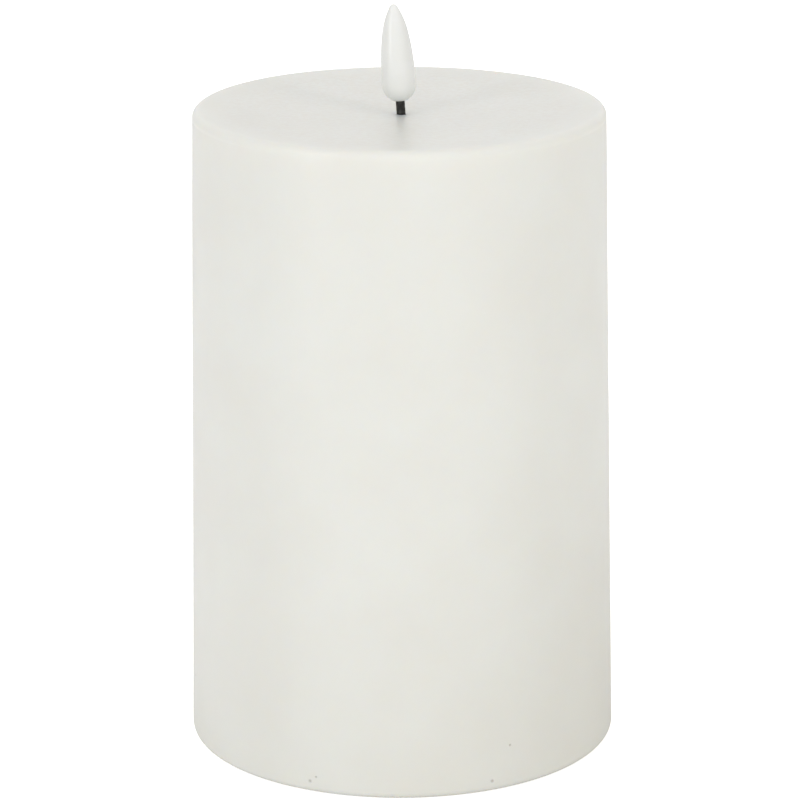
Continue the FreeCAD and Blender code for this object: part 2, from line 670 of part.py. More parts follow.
def switch_frame():
    """Folded cover of the slide switch, open below for the knob."""
    body = new_body("switch_frame")
    slab(body, "frame_block", "0", "board_y", "frame_length", "frame_width", "frame_bottom", "frame_height")
    slab(body, "frame_room", "0", "board_y", "frame_length - 2 * frame_wall", "frame_width - 2 * frame_wall",
         "frame_bottom + frame_wall", "frame_height - 2 * frame_wall", True)
    slab(body, "frame_mouth", "0", "board_y", "slot_length", "knob_width + 2 * slot_gap",
         "frame_bottom", "frame_wall", True)
    return body


def switch_knob():
    """Slider inside the frame with its knob standing down through the slot; drawn in the off position."""
    body = new_body("switch_knob")
    x = "-knob_travel / 2"
    slider_bottom = "frame_bottom + frame_wall + slider_lift"
    slab(body, "slider", x, "board_y", "slider_length", "frame_width - 2 * frame_wall - 2 * slot_gap",
         slider_bottom, "slider_height")
    slab(body, "knob", x, "board_y", "knob_length", "knob_width",
         "knob_bottom", f"{slider_bottom} + frame_gap - knob_bottom")
    for index in (-1, 0, 1):
        slab(body, f"knob_groove_{index + 1}", f"{x} + {index} * groove_pitch", "board_y",
             "groove_width", "knob_width", "knob_bottom", "groove_depth", True)
    return body


def timer_chip():
    """Flat chip package with four pins along each long side."""
    body = new_body("timer_chip")
    slab(body, "chip", "chip_x", "board_y", "chip_length", "chip_width",
         "board_top + chip_lift", "chip_height")
    for index in range(4):
        slab(body, f"pin_row_{index}", f"chip_x + ({index} - 1.5) * pin_pitch", "board_y",
             "pin_width", "pin_span", "board_top + fit_gap", "pin_height")
    return body


def oscillator():
    """Can crystal lying on the board with two short leads."""
    body = new_body("oscillator_crystal")
    level = "board_top + crystal_radius + crystal_lift"
    can = rings(body, "crystal_can", [("crystal_x", level, "crystal_radius")], "crystal_back", "XZ_Plane")
    pad(body, can, "crystal_length")
    places = [(f"crystal_x + {side} * crystal_leg_spacing / 2", level, "crystal_leg_radius")
              for side in (-1, 1)]
    legs = rings(body, "crystal_legs", places, "crystal_back + crystal_length", "XZ_Plane")
    pad(body, legs, "crystal_leg_length")
    return body


def capacitor():
    """Upright can with its sleeve drawn in round the crimp."""
    body = new_body("capacitor")
    groove = "board_top + can_groove_height"
    turned(body, "can", [
        ("0", "board_top + fit_gap"),
        ("can_radius", "board_top + fit_gap"),
        ("can_radius", f"{groove} - can_round"),
        ("can_radius - can_groove", groove),
        ("can_radius", f"{groove} + can_round"),
        ("can_radius", "board_top + can_height - can_round"),
        ("can_radius - can_round", "board_top + can_height"),
        ("0", "board_top + can_height"),
    ])
    moved(body, "can_x", "board_y")
    return body


def resistors():
    """Three small chip resistors in a row."""
    body = new_body("resistors")
    for index in range(3):
        slab(body, f"resistor_{index}", "resistor_x", f"board_y - resistor_offset + {index} * resistor_pitch",
             "resistor_length", "resistor_width", "board_top + fit_gap", "resistor_height")
    return body


DOOR_SPRING_TOP = "door_top + contact_thickness + spring_seat + spring_height"
TOWER_SPRING_BOTTOM = "top_plate_bottom - spring_seat - spring_height"

NODES = [
    wax_shell(), wick_sleeve(), led_leads(), flame_bulb(), flame_led(), wick_socket(), socket_glue(),
    led_wire("led_wire_red", 1), led_wire("led_wire_black", -1), lead_sleeves(),
    cell_wire("battery_wire_red", -1), cell_wire("battery_wire_black", 1),
    base_housing(), housing_glue(), battery_door(), door_screws(),
    cell("cell_left", -1, "left_cell_bottom", True), cell("cell_right", 1, "right_cell_bottom", False),
    bridge_contact(), conical_spring("door_spring", -1, DOOR_SPRING_TOP, False),
    top_contact("positive_contact", -1), top_contact("negative_contact", 1),
    conical_spring("tower_spring", 1, TOWER_SPRING_BOTTOM, True),
    main_board(), board_screws(), switch_frame(), switch_knob(),
    timer_chip(), oscillator(), capacitor(), resistors(),
]
doc.recompute()

for thing in doc.Objects:
    if "Invalid" in thing.State or "Error" in thing.State:
        raise RuntimeError(f"{thing.Name} did not compute: {thing.State}")
for node in NODES:
    shape = node.Shape
    if shape.isNull() or not shape.isValid():
        raise RuntimeError(f"{node.Name} has no sound shape")
    box = shape.optimalBoundingBox(False, False)
    spans = "  ".join(f"{getattr(box, axis + 'Min'):.2f}..{getattr(box, axis + 'Max'):.2f}" for axis in "XYZ")
    print(f"{node.Name:20s} solids {len(shape.Solids)}  volume {shape.Volume:10.1f}  {spans}")
    shape.exportStep(f"parts/{node.Name}.step")
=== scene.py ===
"""Looks of a battery-lit wax pillar candle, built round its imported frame."""

import logging
import math
from dataclasses import dataclass, field
from enum import Enum
from typing import Callable, Optional, Sequence

import bpy
from mathutils import Matrix, Vector


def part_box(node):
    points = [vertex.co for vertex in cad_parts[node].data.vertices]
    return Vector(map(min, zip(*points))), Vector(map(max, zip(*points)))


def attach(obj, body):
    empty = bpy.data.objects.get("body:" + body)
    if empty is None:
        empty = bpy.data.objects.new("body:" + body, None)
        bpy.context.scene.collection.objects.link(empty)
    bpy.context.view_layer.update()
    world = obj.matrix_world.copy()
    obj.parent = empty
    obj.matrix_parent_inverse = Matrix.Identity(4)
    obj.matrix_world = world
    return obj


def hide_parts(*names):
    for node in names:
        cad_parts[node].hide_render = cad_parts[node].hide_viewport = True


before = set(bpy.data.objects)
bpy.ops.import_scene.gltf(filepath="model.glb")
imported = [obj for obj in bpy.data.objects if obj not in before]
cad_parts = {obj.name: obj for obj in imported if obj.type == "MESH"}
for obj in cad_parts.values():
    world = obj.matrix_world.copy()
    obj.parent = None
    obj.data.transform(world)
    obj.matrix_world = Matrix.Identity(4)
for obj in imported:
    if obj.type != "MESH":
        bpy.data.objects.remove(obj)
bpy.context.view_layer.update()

MM = 0.001
LOG = logging.getLogger("candle")

Colour = tuple[float, float, float, float]
Place = tuple[float, float, float]
Point = tuple[float, float]
Socket = bpy.types.NodeSocket
Node = bpy.types.Node
Tree = bpy.types.NodeTree
Piece = bpy.types.Object


class Body(Enum):
    """The rigid bodies that pieces can ride on."""

    CANDLE = "candle"
    SWITCH = "switch"
    DOOR = "door"
    LEFT_CELL = "left_cell"
    RIGHT_CELL = "right_cell"


class Group(Enum):
    """Shader effects that several finishes share."""

    GRAIN = "surface_grain"
    MOTTLE = "colour_mottle"
    WEAR = "edge_wear"
    BRUSHED = "brushed_lines"
    PIT = "single_pit"


def screen_colour(red: int, green: int, blue: int) -> Colour:
    """Turn a screen colour into the linear colour a shader works in.

    Args:
        red: Red from 0 to 255.
        green: Green from 0 to 255.
        blue: Blue from 0 to 255.

    Returns:
        The linear colour with full alpha.
    """
    linear = []
    for value in (red, green, blue):
        part = value / 255
        linear.append(part / 12.92 if part <= 0.04045 else ((part + 0.055) / 1.055) ** 2.4)
    return (linear[0], linear[1], linear[2], 1.0)


# ------------------------------------------------------------------ node trees


class NodeBench:
    """Adds, sets and joins nodes in one node tree."""

    def __init__(self, tree: Tree) -> None:
        """Keep the tree that nodes go into.

        Args:
            tree: The material's or group's node tree.
        """
        self.tree = tree

    def add(self, kind: str, settings: Optional[dict] = None, **inputs: object) -> Node:
        """Add one node.

        Args:
            kind: The node's type name.
            settings: Properties of the node itself.
            **inputs: Values or sockets for its inputs, underscores standing for spaces.

        Returns:
            The new node.
        """
        node = self.tree.nodes.new(kind)
        for name, value in (settings or {}).items():
            setattr(node, name, value)
        for name, value in inputs.items():
            self.feed(node.inputs[name.replace("_", " ")], value)
        return node

    def feed(self, socket: Socket, value: object) -> None:
        """Set an input to a value, or join an output to it."""
        if isinstance(value, Socket):
            self.tree.links.new(value, socket)
        else:
            socket.default_value = value

    def calculate(self, operation: str, first: object, second: object = 0.0,
                  clamp: bool = False) -> Socket:
        """Add a Math node.

        Args:
            operation: The Math node's operation.
            first: Its first value or socket.
            second: Its second value or socket.
            clamp: Whether the result is kept from 0 to 1.

        Returns:
            The result.
        """
        node = self.add("ShaderNodeMath", {"operation": operation, "use_clamp": clamp})
        self.feed(node.inputs[0], first)
        self.feed(node.inputs[1], second)
        return node.outputs[0]

    def blend(self, amount: object, first: object, second: object, way: str = "MIX") -> Socket:
        """Mix two colours.

        Args:
            amount: The share of the second colour.
            first: A colour or socket.
            second: A colour or socket.
            way: The Mix node's blend type.

        Returns:
            The mixed colour.
        """
        node = self.add("ShaderNodeMix", {"data_type": "RGBA", "blend_type": way})
        self.feed(node.inputs[0], amount)
        self.feed(node.inputs[6], first)
        self.feed(node.inputs[7], second)
        return node.outputs[2]

    def span(self, value: object, low: float, high: float, to_low: float, to_high: float) -> Socket:
        """Map a value from one span to another, kept inside it.

        Args:
            value: The socket to map.
            low: Where the first span starts.
            high: Where the first span ends.
            to_low: Where the second span starts.
            to_high: Where the second span ends.

        Returns:
            The mapped value.
        """
        node = self.add("ShaderNodeMapRange", {"clamp": True})
        for socket, number in zip(node.inputs, (value, low, high, to_low, to_high)):
            self.feed(socket, number)
        return node.outputs[0]

    def noise(self, place: Socket, scale: object, detail: float = 3.0,
              rough: float = 0.5) -> Socket:
        """Add a Noise texture and return its value."""
        node = self.add("ShaderNodeTexNoise", Vector=place, Scale=scale, Detail=detail, Roughness=rough)
        return node.outputs["Fac"]

    def place(self) -> Socket:
        """Return the object's own coordinates."""
        return self.add("ShaderNodeTexCoord").outputs["Object"]

    def stretched(self, place: Socket, scale: Place, turn: Place = (0.0, 0.0, 0.0)) -> Socket:
        """Stretch and turn coordinates with a Mapping node."""
        node = self.add("ShaderNodeMapping", Vector=place, Scale=scale, Rotation=turn)
        return node.outputs[0]


class GroupShelf:
    """Builds each shared shader group once and places it in materials."""

    def __init__(self) -> None:
        """Start with nothing built."""
        self.made: dict[Group, Tree] = {}
        self.makers: dict[Group, Callable[[], Tree]] = {
            Group.GRAIN: self._grain,
            Group.MOTTLE: self._mottle,
            Group.WEAR: self._wear,
            Group.BRUSHED: self._brushed,
            Group.PIT: self._pit,
        }

    def put(self, bench: NodeBench, which: Group, **inputs: object) -> Node:
        """Place a group in a material with its own values.

        Args:
            bench: The material's bench.
            which: The group wanted.
            **inputs: Values or sockets for the group's inputs.

        Returns:
            The group node.
        """
        if which not in self.made:
            self.made[which] = self.makers[which]()
        node = bench.tree.nodes.new("ShaderNodeGroup")
        node.node_tree = self.made[which]
        for name, value in inputs.items():
            bench.feed(node.inputs[name.replace("_", " ")], value)
        return node

    @staticmethod
    def _start(which: Group, takes: dict[str, tuple[str, object]],
               gives: dict[str, str]) -> tuple[Tree, NodeBench, Node, Node]:
        """Make an empty group.

        Args:
            which: The group being made.
            takes: Input names with their socket kind and first value.
            gives: Output names with their socket kind.

        Returns:
            The tree, its bench, its input node and its output node.
        """
        tree = bpy.data.node_groups.new(which.value, "ShaderNodeTree")
        for name, (kind, value) in takes.items():
            socket = tree.interface.new_socket(name=name, in_out="INPUT", socket_type=f"NodeSocket{kind}")
            socket.default_value = value
        for name, kind in gives.items():
            tree.interface.new_socket(name=name, in_out="OUTPUT", socket_type=f"NodeSocket{kind}")
        bench = NodeBench(tree)
        return tree, bench, bench.add("NodeGroupInput"), bench.add("NodeGroupOutput")

    def _grain(self) -> Tree:
        """Fine relief of two sizes of grain laid over each other."""
        tree, bench, take, give = self._start(
            Group.GRAIN, {"Fine": ("Float", 2500.0), "Broad": ("Float", 300.0), "Share": ("Float", 0.5)},
            {"Height": "Float", "Mask": "Float"})
        place = bench.place()
        fine = bench.noise(place, take.outputs["Fine"], 4.0, 0.6)
        broad = bench.noise(place, take.outputs["Broad"], 2.0, 0.5)
        share = bench.calculate("MULTIPLY", broad, take.outputs["Share"])
        bench.feed(give.inputs["Height"], bench.calculate("ADD", fine, share))
        bench.feed(give.inputs["Mask"], bench.span(fine, 0.35, 0.65, 0.0, 1.0))
        return tree

    def _mottle(self) -> Tree:
        """Slow drifts of colour between two near shades, with a little fine speckle."""
        tree, bench, take, give = self._start(
            Group.MOTTLE, {"Light": ("Color", (0.8, 0.8, 0.8, 1)), "Dark": ("Color", (0.6, 0.6, 0.6, 1)),
                           "Size": ("Float", 40.0), "Speckle": ("Float", 0.2)},
            {"Colour": "Color", "Mask": "Float"})
        place = bench.place()
        cloud = bench.span(bench.noise(place, take.outputs["Size"], 3.0, 0.55), 0.32, 0.68, 0.0, 1.0)
        speck = bench.noise(place, bench.calculate("MULTIPLY", take.outputs["Size"], 22.0), 2.0, 0.5)
        speck = bench.calculate("SUBTRACT", speck, 0.5)
        speck = bench.calculate("MULTIPLY", speck, take.outputs["Speckle"])
        mask = bench.calculate("ADD", cloud, speck, clamp=True)
        bench.feed(give.inputs["Colour"], bench.blend(mask, take.outputs["Light"], take.outputs["Dark"]))
        bench.feed(give.inputs["Mask"], mask)
        return tree

    def _wear(self) -> Tree:
        """Mask of the sharp edges, broken up so that it looks handled."""
        tree, bench, take, give = self._start(
            Group.WEAR, {"Width": ("Float", 0.0003), "Break": ("Float", 900.0)}, {"Mask": "Float"})
        rounded = bench.add("ShaderNodeBevel", {"samples": 4}, Radius=take.outputs["Width"])
        flat = bench.add("ShaderNodeNewGeometry")
        dot = bench.add("ShaderNodeVectorMath", {"operation": "DOT_PRODUCT"})
        bench.feed(dot.inputs[0], rounded.outputs["Normal"])
        bench.feed(dot.inputs[1], flat.outputs["Normal"])
        edge = bench.span(dot.outputs["Value"], 0.8, 0.99, 1.0, 0.0)
        broken = bench.span(bench.noise(bench.place(), take.outputs["Break"], 3.0, 0.6), 0.4, 0.6, 0.0, 1.0)
        bench.feed(give.inputs["Mask"], bench.calculate("MULTIPLY", edge, broken))
        return tree

    def _brushed(self) -> Tree:
        """Fine drawn lines along the X axis."""
        tree, bench, take, give = self._start(
            Group.BRUSHED, {"Fineness": ("Float", 4000.0)}, {"Height": "Float", "Mask": "Float"})
        drawn = bench.stretched(bench.place(), (0.04, 1.0, 1.0))
        lines = bench.noise(drawn, take.outputs["Fineness"], 2.0, 0.6)
        bench.feed(give.inputs["Height"], lines)
        bench.feed(give.inputs["Mask"], bench.span(lines, 0.35, 0.65, 0.0, 1.0))
        return tree

    def _pit(self) -> Tree:
        """Round mask of one small pit at a given place."""
        tree, bench, take, give = self._start(
            Group.PIT, {"Place": ("Vector", (0.0, 0.0, 0.0)), "Radius": ("Float", 0.0005)},
            {"Mask": "Float"})
        away = bench.add("ShaderNodeVectorMath", {"operation": "DISTANCE"})
        bench.feed(away.inputs[0], bench.place())
        bench.feed(away.inputs[1], take.outputs["Place"])
        share = bench.calculate("DIVIDE", away.outputs["Value"], take.outputs["Radius"])
        bench.feed(give.inputs["Mask"], bench.span(share, 0.3, 1.0, 1.0, 0.0))
        return tree


SHELF = GroupShelf()


# ------------------------------------------------------------------ finishes


@dataclass(frozen=True)
class Finish:
    """Base of every finish: a material with one Principled shader.

    Attributes:
        name: The material's name.
        roughness: Middle roughness of the surface.
    """

    name: str
    roughness: float = 0.5

    def material(self) -> bpy.types.Material:
        """Return the finished material, built on first use."""
        ready = bpy.data.materials.get(self.name)
        if ready is not None:
            return ready
        made = bpy.data.materials.new(self.name)
        made.use_nodes = True
        made.node_tree.nodes.clear()
        bench = NodeBench(made.node_tree)
        shader = bench.add("ShaderNodeBsdfPrincipled", Roughness=self.roughness)
        out = bench.add("ShaderNodeOutputMaterial")
        self.dress(bench, shader)
        bench.feed(out.inputs["Surface"], shader.outputs[0])
        return made

    def dress(self, bench: NodeBench, shader: Node) -> None:
        """Add colour, roughness and relief to the shader."""
        raise NotImplementedError

    @staticmethod
    def relief(bench: NodeBench, shader: Node, height: Socket, depth: float,
               strength: float = 1.0) -> Node:
        """Feed a height through a Bump node into the shader's normal.

        Args:
            bench: The material's bench.
            shader: The Principled shader.
            height: The height from 0 to 1.
            depth: The real depth in metres that 1 stands for.
            strength: The Bump node's strength.

        Returns:
            The Bump node.
        """
        bump = bench.add("ShaderNodeBump", Height=height, Distance=depth, Strength=strength)
        bench.feed(shader.inputs["Normal"], bump.outputs[0])
        return bump


@dataclass(frozen=True)
class CastWax(Finish):
    """Satin cast wax: light passes a little way into it, with faint drifts, grain and a few pits.

    Attributes:
        light: The paler wax colour.
        dark: The deeper wax colour.
        mealy: Colour of the fine mealy grain on the top.
        pit_painted_shade: Darker colour painted into a pit as the shade that falls in it.
        top_level: Height above which the top's grain shows, in metres.
        top_fade: Height over which that grain comes in, in metres.
        top_radius: Radius at which that grain has faded, in metres.
        rim_fade: Width over which it fades, in metres.
        light_depth: How far light passes into the wax, in metres.
        pit_depth: Depth of a pit, in metres.
        pits: Places of the small pits, in metres, with their radius.
    """

    light: Colour = screen_colour(232, 233, 229)
    dark: Colour = screen_colour(230, 230, 225)
    mealy: Colour = screen_colour(227, 225, 219)
    pit_painted_shade: Colour = screen_colour(150, 144, 130)
    top_level: float = 147.8 * MM
    top_fade: float = 0.4 * MM
    top_radius: float = 45.5 * MM
    rim_fade: float = 8 * MM
    light_depth: float = 5 * MM
    pit_depth: float = 0.25 * MM
    pits: tuple[tuple[Place, float], ...] = (
        ((-48.66 * MM, -10.23 * MM, 15.65 * MM), 0.42 * MM),
        ((-21.17 * MM, -45.24 * MM, 2.87 * MM), 0.5 * MM),
        ((-19.78 * MM, -45.85 * MM, 4.09 * MM), 0.36 * MM),
        ((20.35 * MM, -45.62 * MM, 2.78 * MM), 0.5 * MM),
        ((24.5 * MM, -43.37 * MM, 10.67 * MM), 0.36 * MM),
        ((41.2 * MM, 27.3 * MM, 6.2 * MM), 0.45 * MM),
        ((-33.0 * MM, 36.9 * MM, 31.0 * MM), 0.38 * MM))

    def dress(self, bench: NodeBench, shader: Node) -> None:
        """Add drifts of colour, soft depth, grain and pits with painted shade in them."""
        drift = SHELF.put(bench, Group.MOTTLE, Light=self.light, Dark=self.dark, Size=42.0, Speckle=0.4)
        grain = SHELF.put(bench, Group.GRAIN, Fine=2400.0, Broad=180.0, Share=0.4)
        apart = bench.add("ShaderNodeSeparateXYZ", Vector=bench.place())
        flat = bench.add("ShaderNodeVectorMath", {"operation": "MULTIPLY"})
        bench.feed(flat.inputs[0], bench.place())
        bench.feed(flat.inputs[1], (1.0, 1.0, 0.0))
        length = bench.add("ShaderNodeVectorMath", {"operation": "LENGTH"}, Vector=flat.outputs[0])
        fade_start = self.top_radius - self.rim_fade
        inward = bench.span(length.outputs["Value"], fade_start, self.top_radius, 0.8, 0.0)
        high = bench.span(apart.outputs["Z"], self.top_level, self.top_level + self.top_fade, 0.0, 1.0)
        on_top = bench.calculate("MULTIPLY", inward, high)
        mealy = bench.span(bench.noise(bench.place(), 820.0, 3.0, 0.6), 0.36, 0.66, 0.0, 1.0)
        grained = bench.calculate("MULTIPLY", mealy, on_top)
        body_colour = bench.blend(grained, drift.outputs["Colour"], self.mealy)
        masks = [SHELF.put(bench, Group.PIT, Place=where, Radius=radius).outputs["Mask"]
                 for where, radius in self.pits]
        hollow = masks[0]
        for mask in masks[1:]:
            hollow = bench.calculate("MAXIMUM", hollow, mask)
        # Painted shade: each pit's colour is pulled towards a dark colour, as if shade fell into the
        # hollow.
        shade = bench.calculate("MULTIPLY", hollow, 0.45)
        colour = bench.blend(shade, body_colour, self.pit_painted_shade)
        bench.feed(shader.inputs["Base Color"], colour)
        rough = bench.span(drift.outputs["Mask"], 0.0, 1.0, self.roughness - 0.03, self.roughness + 0.05)
        bench.feed(shader.inputs["Roughness"], rough)
        shader.inputs["Subsurface Weight"].default_value = 0.6
        shader.inputs["Subsurface Radius"].default_value = (1.0, 0.85, 0.65)
        shader.inputs["Subsurface Scale"].default_value = self.light_depth
        shader.inputs["IOR"].default_value = 1.44
        bench.feed(shader.inputs["Coat Weight"], bench.span(high, 0.0, 1.0, 0.34, 0.08))
        shader.inputs["Coat Roughness"].default_value = 0.19
        grain_height = bench.calculate("MULTIPLY", grain.outputs["Height"], 0.06)
        height = bench.calculate("SUBTRACT", grain_height, hollow)
        self.relief(bench, shader, height, self.pit_depth, 0.7)


@dataclass(frozen=True)
class MilkyShade(Finish):
    """Milky moulded plastic of the flame-shaped shade.

    Attributes:
        light: Colour of the upper shade.
        foot: Darker, cooler colour painted near its foot as shading.
        foot_height: Height at which the painted shading at the foot has faded, in metres.
        foot_start: Height of the foot itself, in metres.
    """

    light: Colour = screen_colour(241, 242, 240)
    foot: Colour = screen_colour(230, 233, 232)
    foot_height: float = 0.1555
    foot_start: float = 0.1512

    def dress(self, bench: NodeBench, shader: Node) -> None:
        """Add painted shading at the foot, a faint mould grain and depth."""
        apart = bench.add("ShaderNodeSeparateXYZ", Vector=bench.place())
        # Painted shading: the lower part of the shade is blended towards a darker, cooler colour, as if
        # less light reached its foot.
        fade = bench.span(apart.outputs["Z"], self.foot_start, self.foot_height, 1.0, 0.0)
        drift = SHELF.put(bench, Group.MOTTLE, Light=self.light, Dark=screen_colour(239, 240, 237),
                          Size=240.0, Speckle=0.3)
        bench.feed(shader.inputs["Base Color"], bench.blend(fade, drift.outputs["Colour"], self.foot))
        grain = SHELF.put(bench, Group.GRAIN, Fine=5200.0, Broad=700.0, Share=0.8)
        rough = bench.span(grain.outputs["Mask"], 0.0, 1.0, self.roughness - 0.03, self.roughness + 0.05)
        bench.feed(shader.inputs["Roughness"], rough)
        shader.inputs["Coat Weight"].default_value = 0.4
        shader.inputs["Coat Roughness"].default_value = 0.12
        shader.inputs["Subsurface Weight"].default_value = 0.4
        shader.inputs["Subsurface Radius"].default_value = (1.0, 0.95, 0.85)
        shader.inputs["Subsurface Scale"].default_value = 0.0012
        self.relief(bench, shader, grain.outputs["Height"], 0.00001, 0.5)


@dataclass(frozen=True)
class BlackBraid(Finish):
    """Dull black braided sleeve with crossing strands.

    Attributes:
        strands: Waves per metre of the crossing strands.
    """

    strands: float = 1500.0

    def dress(self, bench: NodeBench, shader: Node) -> None:
        """Add the crossing strands and a little lint."""
        waves = []
        for side in (1, -1):
            turned = bench.stretched(bench.place(), (1.0, 1.0, 1.0), (0.0, side * 0.7, 0.6))
            wave = bench.add("ShaderNodeTexWave", {"wave_type": "BANDS"}, Vector=turned,
                             Scale=self.strands / 6.3, Distortion=1.5)
            waves.append(wave.outputs["Fac"])
        strand = bench.calculate("MULTIPLY", waves[0], waves[1])
        lint = bench.span(bench.noise(bench.place(), 4200.0, 3.0, 0.6), 0.55, 0.75, 0.0, 1.0)
        dark = bench.blend(strand, screen_colour(34, 33, 32), screen_colour(60, 59, 57))
        linted = bench.blend(bench.calculate("MULTIPLY", lint, 0.3), dark, screen_colour(96, 94, 90))
        bench.feed(shader.inputs["Base Color"], linted)
        rough = bench.span(strand, 0.0, 1.0, self.roughness + 0.1, self.roughness)
        bench.feed(shader.inputs["Roughness"], rough)
        shader.inputs["Sheen Weight"].default_value = 0.1
        self.relief(bench, shader, strand, 0.00006, 0.8)


@dataclass(frozen=True)
class MouldedPlastic(Finish):
    """Spark-textured moulded plastic with slightly polished edges.

    Attributes:
        light: The plastic's colour.
        dark: Its colour where it is a little dirty.
        edge: Its colour at handled edges.
        grain: Grains per metre.
        depth: Depth of the grain in metres.
    """

    light: Colour = screen_colour(232, 229, 216)
    dark: Colour = screen_colour(222, 218, 203)
    edge: Colour = screen_colour(240, 238, 230)
    grain: float = 3200.0
    depth: float = 0.00003

    def dress(self, bench: NodeBench, shader: Node) -> None:
        """Add spark grain, drifts and edge polish."""
        drift = SHELF.put(bench, Group.MOTTLE, Light=self.light, Dark=self.dark, Size=90.0, Speckle=0.25)
        wear = SHELF.put(bench, Group.WEAR, Width=0.00025, Break=1100.0)
        colour = bench.blend(wear.outputs["Mask"], drift.outputs["Colour"], self.edge)
        bench.feed(shader.inputs["Base Color"], colour)
        grain = SHELF.put(bench, Group.GRAIN, Fine=self.grain, Broad=420.0, Share=0.4)
        rough = bench.span(grain.outputs["Mask"], 0.0, 1.0, self.roughness - 0.06, self.roughness + 0.06)
        polished = bench.calculate("MULTIPLY", wear.outputs["Mask"], 0.15)
        bench.feed(shader.inputs["Roughness"], bench.calculate("SUBTRACT", rough, polished))
        self.relief(bench, shader, grain.outputs["Height"], self.depth, 0.6)


@dataclass(frozen=True)
class PlatedMetal(Finish):
    """Plated sheet or wire with drawn lines and slight tarnish.

    Attributes:
        bright: Colour of the clean plating.
        tarnish: Colour where it has dulled.
    """

    bright: Colour = screen_colour(214, 210, 200)
    tarnish: Colour = screen_colour(176, 168, 148)

    def dress(self, bench: NodeBench, shader: Node) -> None:
        """Add drawn lines and tarnish."""
        shader.inputs["Metallic"].default_value = 1.0
        drift = SHELF.put(bench, Group.MOTTLE, Light=self.bright, Dark=self.tarnish,
                          Size=260.0, Speckle=0.4)
        bench.feed(shader.inputs["Base Color"], drift.outputs["Colour"])
        lines = SHELF.put(bench, Group.BRUSHED, Fineness=6500.0)
        rough = bench.span(lines.outputs["Mask"], 0.0, 1.0, self.roughness - 0.06, self.roughness + 0.08)
        bench.feed(shader.inputs["Roughness"], rough)
        self.relief(bench, shader, lines.outputs["Height"], 0.000006, 0.5)


@dataclass(frozen=True)
class WireJacket(Finish):
    """Extruded insulation with a faint ripple and finger marks.

    Attributes:
        colour: The insulation's colour.
        faded: Its colour where it is rubbed.
    """

    colour: Colour = screen_colour(176, 28, 24)
    faded: Colour = screen_colour(150, 26, 24)

    def dress(self, bench: NodeBench, shader: Node) -> None:
        """Add the ripple and rubbed patches."""
        drift = SHELF.put(bench, Group.MOTTLE, Light=self.colour, Dark=self.faded, Size=320.0, Speckle=0.3)
        bench.feed(shader.inputs["Base Color"], drift.outputs["Colour"])
        bench.feed(shader.inputs["Roughness"],
                   bench.span(drift.outputs["Mask"], 0.0, 1.0, self.roughness - 0.05, self.roughness + 0.1))
        ripple = bench.noise(bench.stretched(bench.place(), (1.0, 1.0, 0.25)), 2600.0, 2.0, 0.5)
        self.relief(bench, shader, ripple, 0.00002, 0.5)


@dataclass(frozen=True)
class HotMelt(Finish):
    """Cloudy hot-melt glue with trapped bubbles."""

    def dress(self, bench: NodeBench, shader: Node) -> None:
        """Add clouds, bubbles and depth."""
        drift = SHELF.put(bench, Group.MOTTLE, Light=screen_colour(232, 224, 196),
                          Dark=screen_colour(212, 200, 164), Size=300.0, Speckle=0.5)
        cell = bench.add("ShaderNodeTexVoronoi", Vector=bench.place(), Scale=900.0)
        bubble = bench.span(cell.outputs["Distance"], 0.1, 0.25, 1.0, 0.0)
        pale = bench.calculate("MULTIPLY", bubble, 0.4)
        colour = bench.blend(pale, drift.outputs["Colour"], screen_colour(245, 242, 230))
        bench.feed(shader.inputs["Base Color"], colour)
        rough = bench.span(drift.outputs["Mask"], 0.0, 1.0, self.roughness, self.roughness + 0.12)
        bench.feed(shader.inputs["Roughness"], rough)
        shader.inputs["Subsurface Weight"].default_value = 0.3
        shader.inputs["Subsurface Scale"].default_value = 0.002
        self.relief(bench, shader, bubble, 0.00008, 0.5)


@dataclass(frozen=True)
class CircuitBoard(Finish):
    """Green solder mask with copper tracks showing through it and a cut fibre edge."""

    def dress(self, bench: NodeBench, shader: Node) -> None:
        """Add mask, tracks and relief."""
        place = bench.place()
        cells = bench.add("ShaderNodeTexBrick", {"offset": 0.37, "squash": 0.7}, Vector=place, Scale=330.0,
                          Mortar_Size=0.06, Mortar_Smooth=0.1)
        track = bench.span(cells.outputs["Fac"], 0.3, 0.7, 0.0, 1.0)
        drift = SHELF.put(bench, Group.MOTTLE, Light=screen_colour(22, 96, 52),
                          Dark=screen_colour(14, 76, 42), Size=150.0, Speckle=0.3)
        green = bench.blend(track, drift.outputs["Colour"], screen_colour(58, 138, 74))
        normal = bench.add("ShaderNodeNewGeometry").outputs["Normal"]
        facing = bench.add("ShaderNodeSeparateXYZ", Vector=normal)
        cut = bench.span(bench.calculate("ABSOLUTE", facing.outputs["Z"]), 0.3, 0.7, 1.0, 0.0)
        bench.feed(shader.inputs["Base Color"], bench.blend(cut, green, screen_colour(176, 168, 122)))
        bench.feed(shader.inputs["Roughness"], bench.span(cut, 0.0, 1.0, self.roughness, 0.8))
        self.relief(bench, shader, track, 0.00004, 0.6)


